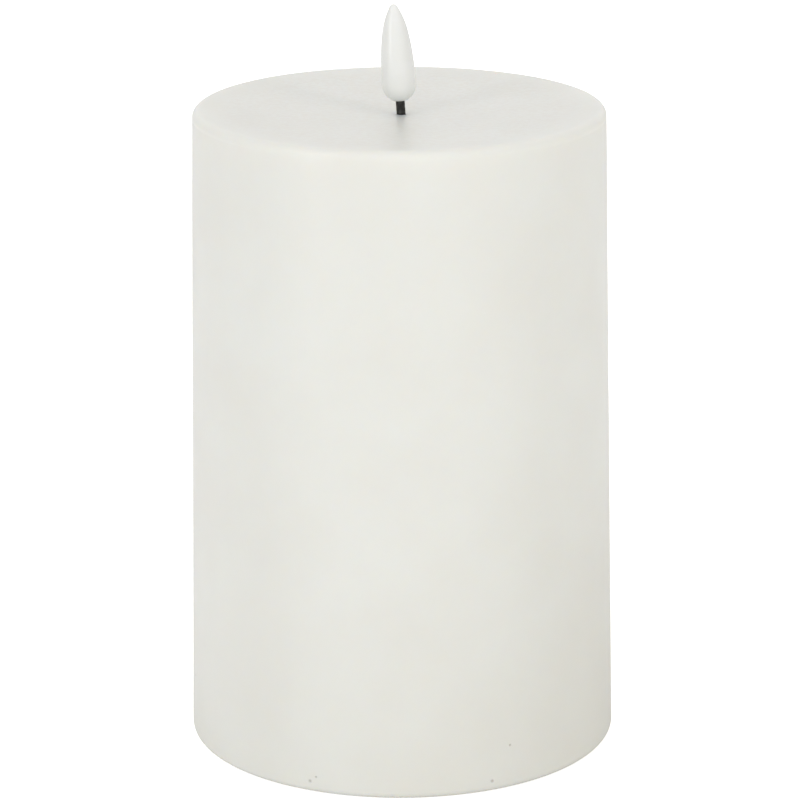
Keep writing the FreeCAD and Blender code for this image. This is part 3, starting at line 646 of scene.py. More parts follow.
@dataclass(frozen=True)
class PrintedSleeve(Finish):
    """Plain printed sleeve of a dry cell: a dark body with one pale band at the raised end.

    Attributes:
        band_low: Height where the pale band starts, in metres.
        band_high: Height where it ends, in metres.
    """

    band_low: float = 0.044
    band_high: float = 0.058

    def dress(self, bench: NodeBench, shader: Node) -> None:
        """Add the two bands and scuffs."""
        shader.inputs["Coat Weight"].default_value = 0.5
        shader.inputs["Coat Roughness"].default_value = 0.12
        apart = bench.add("ShaderNodeSeparateXYZ", Vector=bench.place())
        above = bench.span(apart.outputs["Z"], self.band_low, self.band_low + 0.0001, 0.0, 1.0)
        below = bench.span(apart.outputs["Z"], self.band_high, self.band_high + 0.0001, 1.0, 0.0)
        band = bench.calculate("MULTIPLY", above, below)
        dark = SHELF.put(bench, Group.MOTTLE, Light=screen_colour(38, 44, 54),
                         Dark=screen_colour(28, 33, 42), Size=120.0, Speckle=0.3)
        pale = SHELF.put(bench, Group.MOTTLE, Light=screen_colour(206, 172, 96),
                         Dark=screen_colour(190, 154, 80), Size=160.0, Speckle=0.3)
        printed = bench.blend(band, dark.outputs["Colour"], pale.outputs["Colour"])
        upright = bench.stretched(bench.place(), (1.0, 1.0, 0.2))
        scuff = bench.span(bench.noise(upright, 700.0, 4.0, 0.7), 0.62, 0.72, 0.0, 0.5)
        bench.feed(shader.inputs["Base Color"], bench.blend(scuff, printed, screen_colour(120, 122, 124)))
        rough = bench.span(scuff, 0.0, 0.5, self.roughness, self.roughness + 0.25)
        bench.feed(shader.inputs["Roughness"], rough)
        bench.feed(shader.inputs["Metallic"], bench.calculate("MULTIPLY", band, 0.6))
        ripple = bench.noise(bench.place(), 500.0, 2.0, 0.5)
        self.relief(bench, shader, ripple, 0.00002, 0.4)


@dataclass(frozen=True)
class ChipBody(Finish):
    """Black moulded package whose ends or legs are tinned.

    Attributes:
        middle: X of the package's middle in metres.
        half: Half the width of the black part in metres, along the axis.
        along_x: Whether the tinned ends lie along X; along Y otherwise.
        centre_y: Y of the package's middle in metres.
    """

    middle: float = 0.0
    half: float = 0.001
    along_x: bool = True
    centre_y: float = 0.0

    def dress(self, bench: NodeBench, shader: Node) -> None:
        """Add the black body and the bright ends."""
        apart = bench.add("ShaderNodeSeparateXYZ", Vector=bench.place())
        side = apart.outputs["X"] if self.along_x else apart.outputs["Y"]
        centre = self.middle if self.along_x else self.centre_y
        away = bench.calculate("ABSOLUTE", bench.calculate("SUBTRACT", side, centre))
        tin = bench.span(away, self.half, self.half + 0.00002, 0.0, 1.0)
        body = SHELF.put(bench, Group.MOTTLE, Light=screen_colour(44, 44, 46),
                         Dark=screen_colour(34, 34, 36), Size=900.0, Speckle=0.5)
        colour = bench.blend(tin, body.outputs["Colour"], screen_colour(200, 200, 198))
        bench.feed(shader.inputs["Base Color"], colour)
        bench.feed(shader.inputs["Metallic"], tin)
        bench.feed(shader.inputs["Roughness"], bench.span(tin, 0.0, 1.0, self.roughness, 0.3))
        grain = SHELF.put(bench, Group.GRAIN, Fine=7000.0, Broad=1500.0, Share=0.3)
        self.relief(bench, shader, grain.outputs["Height"], 0.00001, 0.6)


@dataclass(frozen=True)
class StudioFloor(Finish):
    """Plain pale floor that lets views from below through.

    Attributes:
        colour: The floor's colour.
        glow: Its own light as the camera sees it.
        fill: Its own light as the candle sees it.
        painted_shade_colour: Darker colour painted on the floor close to the candle as shade.
        painted_shade_middle: Middle of the patch of painted shade, in metres.
        painted_shade_span: Distances where the painted shade is full and where it has faded.
        foot_radius: Radius of the floor that the candle covers, in metres.
        foot_glow: Light that the covered floor gives to the underside.
        covered_colour: Colour of the covered floor.
    """

    colour: Colour = (0.92, 0.92, 0.92, 1.0)
    glow: float = 0.75
    fill: float = 0.11
    painted_shade_colour: Colour = (0.64, 0.62, 0.57, 1.0)
    painted_shade_middle: Place = (0.09, -0.02, 0.0)
    painted_shade_span: tuple[float, float] = (0.03, 0.22)
    foot_radius: float = 48.3 * MM
    foot_glow: float = 0.72
    covered_colour: Colour = (0.02, 0.02, 0.02, 1.0)

    @staticmethod
    def _away(bench: NodeBench, place: Place) -> Socket:
        """Return the distance from a place on the floor."""
        away = bench.add("ShaderNodeVectorMath", {"operation": "DISTANCE"})
        bench.feed(away.inputs[0], bench.place())
        bench.feed(away.inputs[1], place)
        return away.outputs["Value"]

    def material(self) -> bpy.types.Material:
        """Return the floor's material: pale above, see-through from below."""
        made = bpy.data.materials.new(self.name)
        made.use_nodes = True
        made.node_tree.nodes.clear()
        bench = NodeBench(made.node_tree)
        seen = bench.add("ShaderNodeLightPath").outputs["Is Camera Ray"]
        glow = bench.span(seen, 0.0, 1.0, self.fill, self.glow)
        out_from_middle = self._away(bench, (0.0, 0.0, 0.0))
        covered = bench.span(out_from_middle, self.foot_radius - 1 * MM, self.foot_radius, 1.0, 0.0)
        glow = bench.calculate("MAXIMUM", glow, bench.calculate("MULTIPLY", covered, self.foot_glow))
        # Painted shade: the floor turns darker near the candle, off to its right, so it looks shaded there
        # and bounces less light onto the candle's foot.
        near = bench.span(self._away(bench, self.painted_shade_middle), self.painted_shade_span[0], self.painted_shade_span[1], 1.0, 0.0)
        colour = bench.blend(near, self.colour, self.painted_shade_colour)
        colour = bench.blend(covered, colour, self.covered_colour)
        shader = bench.add("ShaderNodeBsdfPrincipled", Roughness=self.roughness, Base_Color=colour,
                           Emission_Color=(1.0, 1.0, 1.0, 1.0), Emission_Strength=glow)
        shader.inputs["Specular IOR Level"].default_value = 0.1
        clear = bench.add("ShaderNodeBsdfTransparent")
        under = bench.add("ShaderNodeNewGeometry").outputs["Backfacing"]
        mix = bench.add("ShaderNodeMixShader")
        for socket, value in zip(mix.inputs, (under, shader.outputs[0], clear.outputs[0])):
            bench.feed(socket, value)
        out = bench.add("ShaderNodeOutputMaterial")
        bench.feed(out.inputs["Surface"], mix.outputs[0])
        return made


# ------------------------------------------------------------------ modelling by hand


@dataclass(frozen=True)
class Ring:
    """One ring of a turned shape.

    Attributes:
        radius: The ring's radius in metres.
        height: Its height in metres.
        shift: How far its middle lies along X, in metres.
    """

    radius: float
    height: float
    shift: float = 0.0


class Workbench:
    """Hand-modelling steps on one mesh object at a time."""

    @staticmethod
    def clear_selection() -> None:
        """Leave edit mode and deselect everything."""
        if bpy.context.object is not None and bpy.context.object.mode != "OBJECT":
            bpy.ops.object.mode_set(mode="OBJECT")
        bpy.ops.object.select_all(action="DESELECT")

    @classmethod
    def turn(cls, name: str, rings: Sequence[Ring], sides: int, closed: bool = False,
             capped: bool = False) -> Piece:
        """Draw a turned shape up from its first ring by extruding and scaling ring after ring.

        Args:
            name: The new piece's name.
            rings: The rings in order; a radius of 0 closes the shape to a point.
            sides: Vertices in each ring.
            closed: Whether the last ring joins the first.
            capped: Whether the first ring is filled.

        Returns:
            The new object, in object mode and selected.
        """
        cls.clear_selection()
        first = rings[0]
        bpy.ops.mesh.primitive_circle_add(
            vertices=sides, radius=first.radius, fill_type="NGON" if capped else "NOTHING",
            location=(first.shift, 0.0, first.height))
        piece = bpy.context.active_object
        piece.name = name
        piece.data.name = name
        bpy.ops.object.mode_set(mode="EDIT")
        bpy.ops.mesh.select_all(action="SELECT")
        if capped:
            bpy.ops.mesh.inset(thickness=first.radius * 0.3)
            bpy.ops.mesh.merge(type="CENTER")
            cls.pick(piece, lambda co: abs(co.xy.length - first.radius) < first.radius * 0.02)
        for before, ring in zip(rings, rings[1:]):
            step = (ring.shift - before.shift, 0.0, ring.height - before.height)
            bpy.ops.mesh.extrude_region_move(TRANSFORM_OT_translate={"value": step})
            if ring.radius == 0.0:
                bpy.ops.mesh.merge(type="CENTER")
                continue
            share = ring.radius / before.radius
            middle = (ring.shift, 0.0, ring.height)
            bpy.ops.transform.resize(value=(share, share, 1.0), center_override=middle)
        if closed:
            bpy.ops.mesh.select_all(action="SELECT")
            bpy.ops.mesh.remove_doubles(threshold=1e-6)
        bpy.ops.mesh.select_all(action="SELECT")
        bpy.ops.mesh.normals_make_consistent(inside=False)
        bpy.ops.object.mode_set(mode="OBJECT")
        return piece

    @staticmethod
    def pick(piece: Piece, wanted: Callable[[Vector], bool]) -> None:
        """Select only the vertices that a test accepts, and stay in edit mode.

        Args:
            piece: The object being edited.
            wanted: Test of a vertex's own coordinates.
        """
        bpy.ops.mesh.select_all(action="DESELECT")
        bpy.ops.object.mode_set(mode="OBJECT")
        for vertex in piece.data.vertices:
            vertex.select = wanted(vertex.co)
        bpy.ops.object.mode_set(mode="EDIT")
        bpy.ops.mesh.select_mode(type="VERT")

    @staticmethod
    def modifier(piece: Piece, kind: str, **settings: object) -> None:
        """Add a modifier with settings and apply it."""
        made = piece.modifiers.new(kind.lower(), kind)
        for name, value in settings.items():
            setattr(made, name, value)
        bpy.context.view_layer.objects.active = piece
        bpy.ops.object.modifier_apply(modifier=made.name)

    @classmethod
    def finish(cls, piece: Piece, smooth_angle: float = 40.0) -> None:
        """Put the piece's place into its mesh and shade it smooth up to an angle in degrees."""
        cls.clear_selection()
        piece.select_set(True)
        bpy.context.view_layer.objects.active = piece
        bpy.ops.object.transform_apply(location=True, rotation=True, scale=True)
        bpy.ops.object.shade_smooth_by_angle(angle=math.radians(smooth_angle))
        piece.select_set(False)

    @classmethod
    def copy(cls, piece: Piece, name: str, move: Place, turned_over: bool = False,
             share: float = 1.0) -> Piece:
        """Copy a piece with its own mesh and put the copy in its place.

        Args:
            piece: The piece to copy.
            name: The copy's name.
            move: How far the copy is moved, in metres.
            turned_over: Whether it is turned upside down about the X axis first.
            share: Size of the copy against the first piece.

        Returns:
            The copy, its place in its mesh.
        """
        twin = piece.copy()
        twin.data = piece.data.copy()
        twin.name = name
        twin.data.name = name
        bpy.context.collection.objects.link(twin)
        if turned_over:
            twin.rotation_euler = (math.pi, 0.0, 0.0)
        twin.location = move
        twin.scale = (share, share, share)
        cls.clear_selection()
        twin.select_set(True)
        bpy.context.view_layer.objects.active = twin
        bpy.ops.object.transform_apply(location=True, rotation=True, scale=True)
        twin.select_set(False)
        return twin


def settle(piece: Piece, body: Body, finish: Finish, *nodes: str) -> None:
    """Dress a piece, make it ride on its body and hide the frame nodes it stands for.

    Args:
        piece: The finished piece.
        body: The body it rides on.
        finish: Its finish.
        *nodes: The frame nodes it replaces.
    """
    piece.data.materials.clear()
    piece.data.materials.append(finish.material())
    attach(piece, body.value)
    if nodes:
        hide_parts(*nodes)
    LOG.info("%s: %d faces on %s", piece.name, len(piece.data.polygons), body.value)


def arc_rings(centre: Point, radius: float, start: float, end: float, count: int) -> list[Ring]:
    """Rings along a rounded corner.

    Args:
        centre: Radius and height of the arc's middle.
        radius: The corner's radius.
        start: First angle in degrees, 0 outwards and 90 up.
        end: Last angle in degrees.
        count: Number of rings.

    Returns:
        The rings from start to end.
    """
    rings = []
    for step in range(count):
        angle = math.radians(start + (end - start) * step / (count - 1))
        rings.append(Ring(centre[0] + radius * math.cos(angle), centre[1] + radius * math.sin(angle)))
    return rings


def bulging_rings(start: Point, end: Point, radius: float, count: int) -> list[Ring]:
    """Rings along an arc that bulges outwards between two points of an outline.

    Args:
        start: Radius and height where the arc starts; this ring is left out.
        end: Radius and height where it ends.
        radius: The arc's own radius.
        count: Number of rings.

    Returns:
        The rings after the start, up to the end.
    """
    first, last = Vector(start), Vector(end)
    chord = last - first
    inwards = Vector((-chord.y, chord.x)).normalized()
    centre = (first + last) / 2 + inwards * math.sqrt(max(radius ** 2 - (chord.length / 2) ** 2, 0.0))
    low = math.atan2(first.y - centre.y, first.x - centre.x)
    high = math.atan2(last.y - centre.y, last.x - centre.x)
    rings = []
    for step in range(1, count + 1):
        angle = low + (high - low) * step / count
        rings.append(Ring(centre.x + radius * math.cos(angle), centre.y + radius * math.sin(angle)))
    return rings


# ------------------------------------------------------------------ sub-assemblies


@dataclass
class WaxPillar:
    """The cast wax pillar with its hollow core.

    Attributes:
        foot_radius: Radius at the foot.
        height: Height of the rim.
        draft: Taper of the mould in degrees.
        edge: Radius of the rounded rims.
        dish: Depth of the dished top.
        wall: Thickness of the wall.
        roof: Thickness of the roof.
        wick_shift: Sideways place of the wick.
        wick_hole: Radius of the hole round the wick.
        collar: Height of the wax drawn up the wick.
        socket_radius: Radius of the socket's seat.
        socket_depth: Depth of the socket's seat.
        seat_flat: Radius of the flat ring round the socket's seat.
        core_corner: Radius of the corner under the roof.
        sides: Vertices in each ring.
        side_steps: Stretches drawn up the side.
        top_steps: Rings drawn across the top.
        collar_steps: Rings drawn up the collar.
        collar_width: Width of the collar.
        core_steps: Rings drawn down the hollow core.
        waver: Depth of the surface's slight waver.
        waver_size: Size of its waves.
        still_foot: Height of the foot that stays true.
    """

    foot_radius: float = 50 * MM
    height: float = 150 * MM
    draft: float = 1.0
    edge: float = 1.75 * MM
    dish: float = 1.85 * MM
    wall: float = 7.5 * MM
    roof: float = 8 * MM
    wick_shift: float = 0.45 * MM
    wick_hole: float = 1.1 * MM
    collar: float = 0.12 * MM
    socket_radius: float = 3.05 * MM
    socket_depth: float = 3.8 * MM
    seat_flat: float = 10 * MM
    core_corner: float = 4 * MM
    sides: int = 256
    side_steps: int = 60
    top_steps: int = 26
    collar_steps: int = 6
    collar_width: float = 1.3 * MM
    core_steps: int = 12
    waver: float = 0.16 * MM
    waver_size: float = 35 * MM
    still_foot: float = 4 * MM
    finish: Finish = field(default_factory=lambda: CastWax("cast_wax", 0.36))

    def _taper(self, height: float) -> float:
        """Radius lost to the draft at a height."""
        return height * math.tan(math.radians(self.draft))

    def outside(self) -> list[Ring]:
        """Return the rings from the foot, up the side and over the rounded rim."""
        low = arc_rings((self.foot_radius - self.edge, self.edge), self.edge, -90, self.draft, 7)
        top = self.height - self.edge
        middle = (self.foot_radius - self.edge - self._taper(top), top)
        high = arc_rings(middle, self.edge, self.draft, 92, 9)
        first, last = low[-1], high[0]
        side = []
        for step in range(1, self.side_steps):
            radius = first.radius + (last.radius - first.radius) * step / self.side_steps
            height = first.height + (last.height - first.height) * step / self.side_steps
            side.append(Ring(radius, height))
        return low + side + high

    def top(self, rim: Ring) -> list[Ring]:
        """Return the rings of the dished top, from the rim to the collar round the wick.

        Args:
            rim: The last ring of the rounded rim.

        Returns:
            The rings, moving sideways to the wick as they close in.
        """
        rings = []
        inner = self.wick_hole + self.collar_width
        for step in range(1, self.top_steps + 1):
            share = step / self.top_steps
            radius = rim.radius + (inner - rim.radius) * share
            depth = self.dish * (1 - (radius / rim.radius) ** 2)
            rings.append(Ring(radius, self.height - depth, self.wick_shift * share ** 2))
        floor = self.height - self.dish
        for step in range(1, self.collar_steps + 1):
            share = step / self.collar_steps
            radius = inner + (self.wick_hole - inner) * share
            rings.append(Ring(radius, floor + self.collar * share ** 2.5, self.wick_shift))
        return rings

    def inside(self) -> list[Ring]:
        """Return the rings of the wick hole, the socket's seat and the hollow core down to the foot."""
        roof = self.height - self.roof
        shift = self.wick_shift
        seat = roof + self.socket_depth
        rings = [Ring(self.wick_hole, seat, shift), Ring(self.socket_radius, seat, shift),
                 Ring(self.socket_radius, roof, shift), Ring(self.seat_flat, roof, 0.0)]
        corner = self.core_corner
        core = self.foot_radius - self.wall - self._taper(roof)
        rings += arc_rings((core - corner, roof - corner), corner, 90, 0, 6)
        for step in range(1, self.core_steps + 1):
            height = (roof - corner) * (1 - step / self.core_steps)
            rings.append(Ring(self.foot_radius - self.wall - self._taper(height), height))
        return rings

    def build(self) -> None:
        """Model, waver and dress the pillar."""
        outside = self.outside()
        rings = outside + self.top(outside[-1]) + self.inside() + [outside[0]]
        pillar = Workbench.turn("wax_pillar", rings, self.sides, closed=True)
        cloud = bpy.data.textures.new("wax_waver", "CLOUDS")
        cloud.noise_scale = self.waver_size
        cloud.noise_depth = 1
        free = pillar.vertex_groups.new(name="free_skin")
        above = [v.index for v in pillar.data.vertices if v.co.z + pillar.location.z > self.still_foot]
        free.add(above, 1.0, "REPLACE")
        Workbench.modifier(pillar, "DISPLACE", texture=cloud, texture_coords="LOCAL", strength=self.waver,
                           mid_level=0.5, vertex_group="free_skin")
        Workbench.finish(pillar, 35.0)
        settle(pillar, Body.CANDLE, self.finish, "wax_shell")


@dataclass
class FlameShade:
    """The flame-shaped shade and the bent wick that carries it.

    Attributes:
        foot: Place of the middle of the shade's foot.
        length: Length of the shade along its own axis.
        wall: Thickness of the shade.
        lean: Lean towards the left in degrees.
        profile: Radius, height and bulge of each stretch of the outline, from foot to tip.
        stretch_steps: Rings drawn along each stretch.
        wick_radius: Radius of the wick.
        wick_low: Height where the wick starts in its socket.
        bend_low: Height where its bend starts.
        bend_radius: Radius of its bend.
        wick_shift: Sideways place of the wick's straight foot.
        wick_reach: Length of wick past the bend.
        strands: Strands twisted round the wick.
    """

    foot: Place = (0.224 * MM, 0.0, 151.6 * MM)
    length: float = 22.3 * MM
    wall: float = 0.85 * MM
    lean: float = 3.8
    profile: tuple[tuple[float, float, float], ...] = (
        (1.64 * MM, 0.0, 0.0), (3.90 * MM, 3.70 * MM, 4.15 * MM), (3.67 * MM, 10.48 * MM, 64.7 * MM),
        (2.77 * MM, 16.84 * MM, 49.1 * MM), (1.09 * MM, 21.34 * MM, 20.1 * MM),
        (0.15 * MM, 22.3 * MM, 1.56 * MM))
    stretch_steps: int = 7
    wick_radius: float = 1.05 * MM
    wick_low: float = 140.4 * MM
    bend_low: float = 147.8 * MM
    bend_radius: float = 12 * MM
    wick_shift: float = 0.45 * MM
    wick_reach: float = 4.2 * MM
    strands: int = 8

    def build(self) -> None:
        """Model and dress the shade and the wick."""
        self.build_shade()
        self.build_wick()

    def build_shade(self) -> None:
        """Model the shade as a shell with a hole at its foot for the wick."""
        first = self.profile[0]
        rings = [Ring(self.wick_radius + 0.02 * MM, 0.1 * MM), Ring(first[0] - 0.3 * MM, 0.0),
                 Ring(first[0], first[1])]
        for (wide, high, _), (next_wide, next_high, bulge) in zip(self.profile, self.profile[1:]):
            rings += bulging_rings((wide, high), (next_wide, next_high), bulge, self.stretch_steps)
        rings.append(Ring(0.0, self.length))
        shade = Workbench.turn("flame_shade", rings, 64)
        Workbench.modifier(shade, "SUBSURF", levels=1, render_levels=1)
        Workbench.modifier(shade, "SOLIDIFY", thickness=self.wall, offset=-1.0)
        shade.rotation_euler = (0.0, -math.radians(self.lean), 0.0)
        shade.location = self.foot
        Workbench.finish(shade, 50.0)
        settle(shade, Body.CANDLE, MilkyShade("milky_shade", 0.3), "flame_bulb")

    def build_wick(self) -> None:
        """Model the wick as a twisted cord that follows the bend."""
        Workbench.clear_selection()
        sides = self.strands * 4
        bpy.ops.mesh.primitive_circle_add(
            vertices=sides, radius=self.wick_radius, fill_type="NGON",
            location=(self.wick_shift, 0.0, self.wick_low))
        wick = bpy.context.active_object
        wick.name = "wick_cord"
        wick.data.name = "wick_cord"
        bpy.ops.object.mode_set(mode="EDIT")
        straight = self.bend_low - self.wick_low
        turned = math.radians(self.lean)
        place = Vector((self.wick_shift, 0.0, self.wick_low))
        Workbench.pick(wick, lambda co: math.cos(self.strands * math.atan2(co.x, co.y)) > 0.99)
        bpy.ops.transform.resize(value=(0.93, 0.93, 1.0), center_override=place)
        bpy.ops.mesh.select_all(action="SELECT")
        lean = 0.0
        stretches = [(straight, 0.0, 8), (self.bend_radius * turned, turned, 4), (self.wick_reach, 0.0, 22)]
        for length, turn, steps in stretches:
            for _ in range(steps):
                lean += turn / steps
                step = Vector((-math.sin(lean), 0.0, math.cos(lean))) * (length / steps)
                place = place + step
                bpy.ops.mesh.extrude_region_move(TRANSFORM_OT_translate={"value": step})
                bpy.ops.transform.rotate(value=math.radians(7), orient_axis="Z", center_override=place)
        bpy.ops.mesh.select_all(action="SELECT")
        bpy.ops.mesh.normals_make_consistent(inside=False)
        bpy.ops.object.mode_set(mode="OBJECT")
        Workbench.modifier(wick, "SUBSURF", levels=1, render_levels=1)
        Workbench.finish(wick, 60.0)
        settle(wick, Body.CANDLE, BlackBraid("black_braid", 0.75), "wick_sleeve")


@dataclass
class DryCells:
    """The two round cells: a plated can with its terminals, in a printed sleeve.

    Attributes:
        radius: Radius of the sleeve.
        length: Length over the raised terminal.
        nub: Radius of the raised terminal.
        nub_height: Height of the raised terminal.
    """

    radius: float = 13.1 * MM
    length: float = 50 * MM
    nub: float = 3.3 * MM
    nub_height: float = 1.5 * MM

    def can(self) -> Piece:
        """Model the can, standing on the origin with its raised terminal up."""
        body = self.length - self.nub_height
        inner = self.radius - 0.12 * MM
        nub = self.nub
        rings = [Ring(self.radius - 5 * MM, 0.25 * MM), Ring(self.radius - 4.4 * MM, 0.0),
                 Ring(self.radius - 1.9 * MM, 0.0), Ring(self.radius - 1.6 * MM, 0.45 * MM),
                 Ring(inner - 0.7 * MM, 0.45 * MM), Ring(inner - 0.1 * MM, 0.8 * MM),
                 Ring(inner, 1.4 * MM), Ring(inner, body - 1.6 * MM),
                 Ring(inner - 0.2 * MM, body - 0.9 * MM), Ring(inner - 0.9 * MM, body - 0.5 * MM),
                 Ring(inner - 1.6 * MM, body - 0.6 * MM), Ring(inner - 2.0 * MM, body - 0.9 * MM),
                 Ring(nub + 2.6 * MM, body - 0.5 * MM), Ring(nub + 0.4 * MM, body - 0.2 * MM),
                 Ring(nub, body), Ring(nub, self.length - 0.4 * MM),
                 Ring(nub - 0.35 * MM, self.length), Ring(0.0, self.length)]
        can = Workbench.turn("cell_can_left", rings, 96, capped=True)
        Workbench.finish(can, 30.0)
        return can

    def sleeve(self) -> Piece:
        """Model the sleeve, rolled over the can's shoulders."""
        body = self.length - self.nub_height
        out, skin = self.radius, 0.1 * MM
        rings = [Ring(out - 1.3 * MM, 0.32 * MM), Ring(out - 0.55 * MM, 0.4 * MM),
                 Ring(out - 0.12 * MM, 0.75 * MM), Ring(out, 1.3 * MM), Ring(out, 12 * MM),
                 Ring(out, 25 * MM), Ring(out, 38 * MM), Ring(out, body - 1.5 * MM),
                 Ring(out - 0.2 * MM, body - 0.85 * MM), Ring(out - 0.9 * MM, body - 0.42 * MM),
                 Ring(out - 1.35 * MM, body - 0.42 * MM), Ring(out - 1.35 * MM, body - 0.52 * MM),
                 Ring(out - 0.9 * MM - skin, body - 0.52 * MM),
                 Ring(out - 0.25 * MM - skin, body - 0.95 * MM), Ring(out - skin, body - 1.5 * MM),
                 Ring(out - skin, 1.3 * MM), Ring(out - 0.15 * MM - skin, 0.85 * MM),
                 Ring(out - 0.55 * MM - skin, 0.5 * MM), Ring(out - 1.3 * MM, 0.42 * MM),
                 Ring(out - 1.3 * MM, 0.32 * MM)]
        sleeve = Workbench.turn("cell_sleeve_left", rings, 96, closed=True)
        Workbench.finish(sleeve, 30.0)
        return sleeve

    def build(self) -> None:
        """Model one cell, copy it turned over for the other side, and dress both."""
        plated = PlatedMetal("cell_plating", 0.3)
        places = {}
        for node in ("cell_left", "cell_right"):
            low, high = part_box(node)
            places[node] = ((low[0] + high[0]) / 2, (low[1] + high[1]) / 2, low[2], high[2])
        for make in (self.can, self.sleeve):
            first = make()
            x, y, low, _ = places["cell_left"]
            left = Workbench.copy(first, first.name + "_placed", (x, y, low))
            x, y, _, high = places["cell_right"]
            other = first.name.replace("left", "right")
            right = Workbench.copy(first, other, (x, y, high), turned_over=True)
            name = first.name
            bpy.data.objects.remove(first)
            left.name = name
            if "can" in name:
                settle(left, Body.LEFT_CELL, plated, "cell_left")
                settle(right, Body.RIGHT_CELL, plated, "cell_right")
            else:
                settle(left, Body.LEFT_CELL, PrintedSleeve("cell_print_up", 0.25, 0.0440, 0.0580))
                settle(right, Body.RIGHT_CELL, PrintedSleeve("cell_print_down", 0.25, 0.0060, 0.0200))


@dataclass
class BoardJoints:
    """Solder joints where the wires meet the board.

    Attributes:
        radius: Radius of a joint's foot.
        height: Height of a joint.
        level: Height of the board's upper face.
    """

    radius: float = 1.1 * MM
    height: float = 0.75 * MM
    level: float = 11.1 * MM

    def build(self) -> None:
        """Model one joint and copy it round each wire's foot."""
        wide, tall = self.radius, self.height
        rings = [Ring(wide, 0.01 * MM), Ring(wide * 0.82, tall * 0.22), Ring(wide * 0.66, tall * 0.6),
                 Ring(wide * 0.6, tall * 0.9), Ring(wide * 0.5, tall), Ring(0.0, tall)]
        first = Workbench.turn("solder_joint_a", rings, 24, capped=False)
        Workbench.modifier(first, "SUBSURF", levels=1, render_levels=1)
        Workbench.finish(first, 60.0)
        solder = PlatedMetal("solder", 0.25, screen_colour(206, 208, 210), screen_colour(176, 178, 182))
        wires = ("led_wire_red", "led_wire_black", "battery_wire_red", "battery_wire_black")
        for node, letter in zip(wires, "bcde"):
            low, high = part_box(node)
            share = 0.62 if node.startswith("led") else 1.0
            x = (low[0] + high[0]) / 2
            y = low[1] + (0.5 * MM if node.startswith("led") else 0.7 * MM)
            joint = Workbench.copy(first, f"solder_joint_{letter}", (x, y, self.level), share=share)
            settle(joint, Body.CANDLE, solder)
        bpy.data.objects.remove(first)


@dataclass
class FrameDresser:
    """Gives every carried-over frame node its finish.

    Attributes:
        finishes: Finish of each node by name.
    """

    finishes: dict[str, Finish] = field(default_factory=dict)

    def __post_init__(self) -> None:
        """Fill in the finishes."""
        ivory = MouldedPlastic("ivory_plastic", 0.5)
        white = MouldedPlastic("white_plastic", 0.45, screen_colour(234, 234, 230),
                               screen_colour(226, 226, 220))
        black = MouldedPlastic("black_plastic", 0.45, screen_colour(40, 40, 41),
                               screen_colour(30, 30, 31), screen_colour(70, 70, 70))
        shrink = MouldedPlastic("shrink_sleeve", 0.6, screen_colour(38, 38, 38),
                                screen_colour(28, 28, 28), screen_colour(56, 56, 56), 5200.0)
        nickel = PlatedMetal("nickel_plate", 0.28)
        zinc = PlatedMetal("zinc_screw", 0.32, screen_colour(206, 206, 204), screen_colour(168, 168, 162))
        tinned = PlatedMetal("tinned_wire", 0.3, screen_colour(212, 211, 208), screen_colour(182, 180, 174))
        red = WireJacket("red_jacket", 0.35)
        dark = WireJacket("black_jacket", 0.38, screen_colour(40, 40, 40), screen_colour(30, 30, 30))
        melt = HotMelt("hot_melt", 0.25)
        resin = WireJacket("led_resin", 0.12, screen_colour(240, 214, 128), screen_colour(232, 200, 108))
        can = WireJacket("can_sleeve", 0.3, screen_colour(36, 44, 92), screen_colour(30, 36, 78))
        chip_y = -20 * MM
        self.finishes = {
            "flame_led": resin, "led_leads": tinned, "wick_socket": white, "socket_glue_bead": melt,
            "led_wire_red": red, "led_wire_black": dark, "lead_sleeves": shrink,
            "battery_wire_red": red, "battery_wire_black": dark, "base_housing": ivory,
            "housing_glue_bead": melt, "battery_door": ivory, "door_screws": zinc,
            "bridge_contact": nickel, "door_spring": nickel, "positive_contact": nickel,
            "negative_contact": nickel, "tower_spring": nickel,
            "main_board": CircuitBoard("circuit_board", 0.3), "board_screws": zinc,
            "switch_frame": nickel, "switch_knob": black,
            "timer_chip": ChipBody("chip_body", 0.4, half=1.95 * MM, along_x=False, centre_y=chip_y),
            "oscillator_crystal": tinned, "capacitor": can,
            "resistors": ChipBody("resistor_body", 0.35, middle=3.5 * MM, half=0.65 * MM),
        }

    def dress(self) -> None:
        """Put each finish on its node."""
        for name, finish in self.finishes.items():
            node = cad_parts[name]
            node.data.materials.clear()
            node.data.materials.append(finish.material())
            LOG.info("%s: %s", name, finish.name)


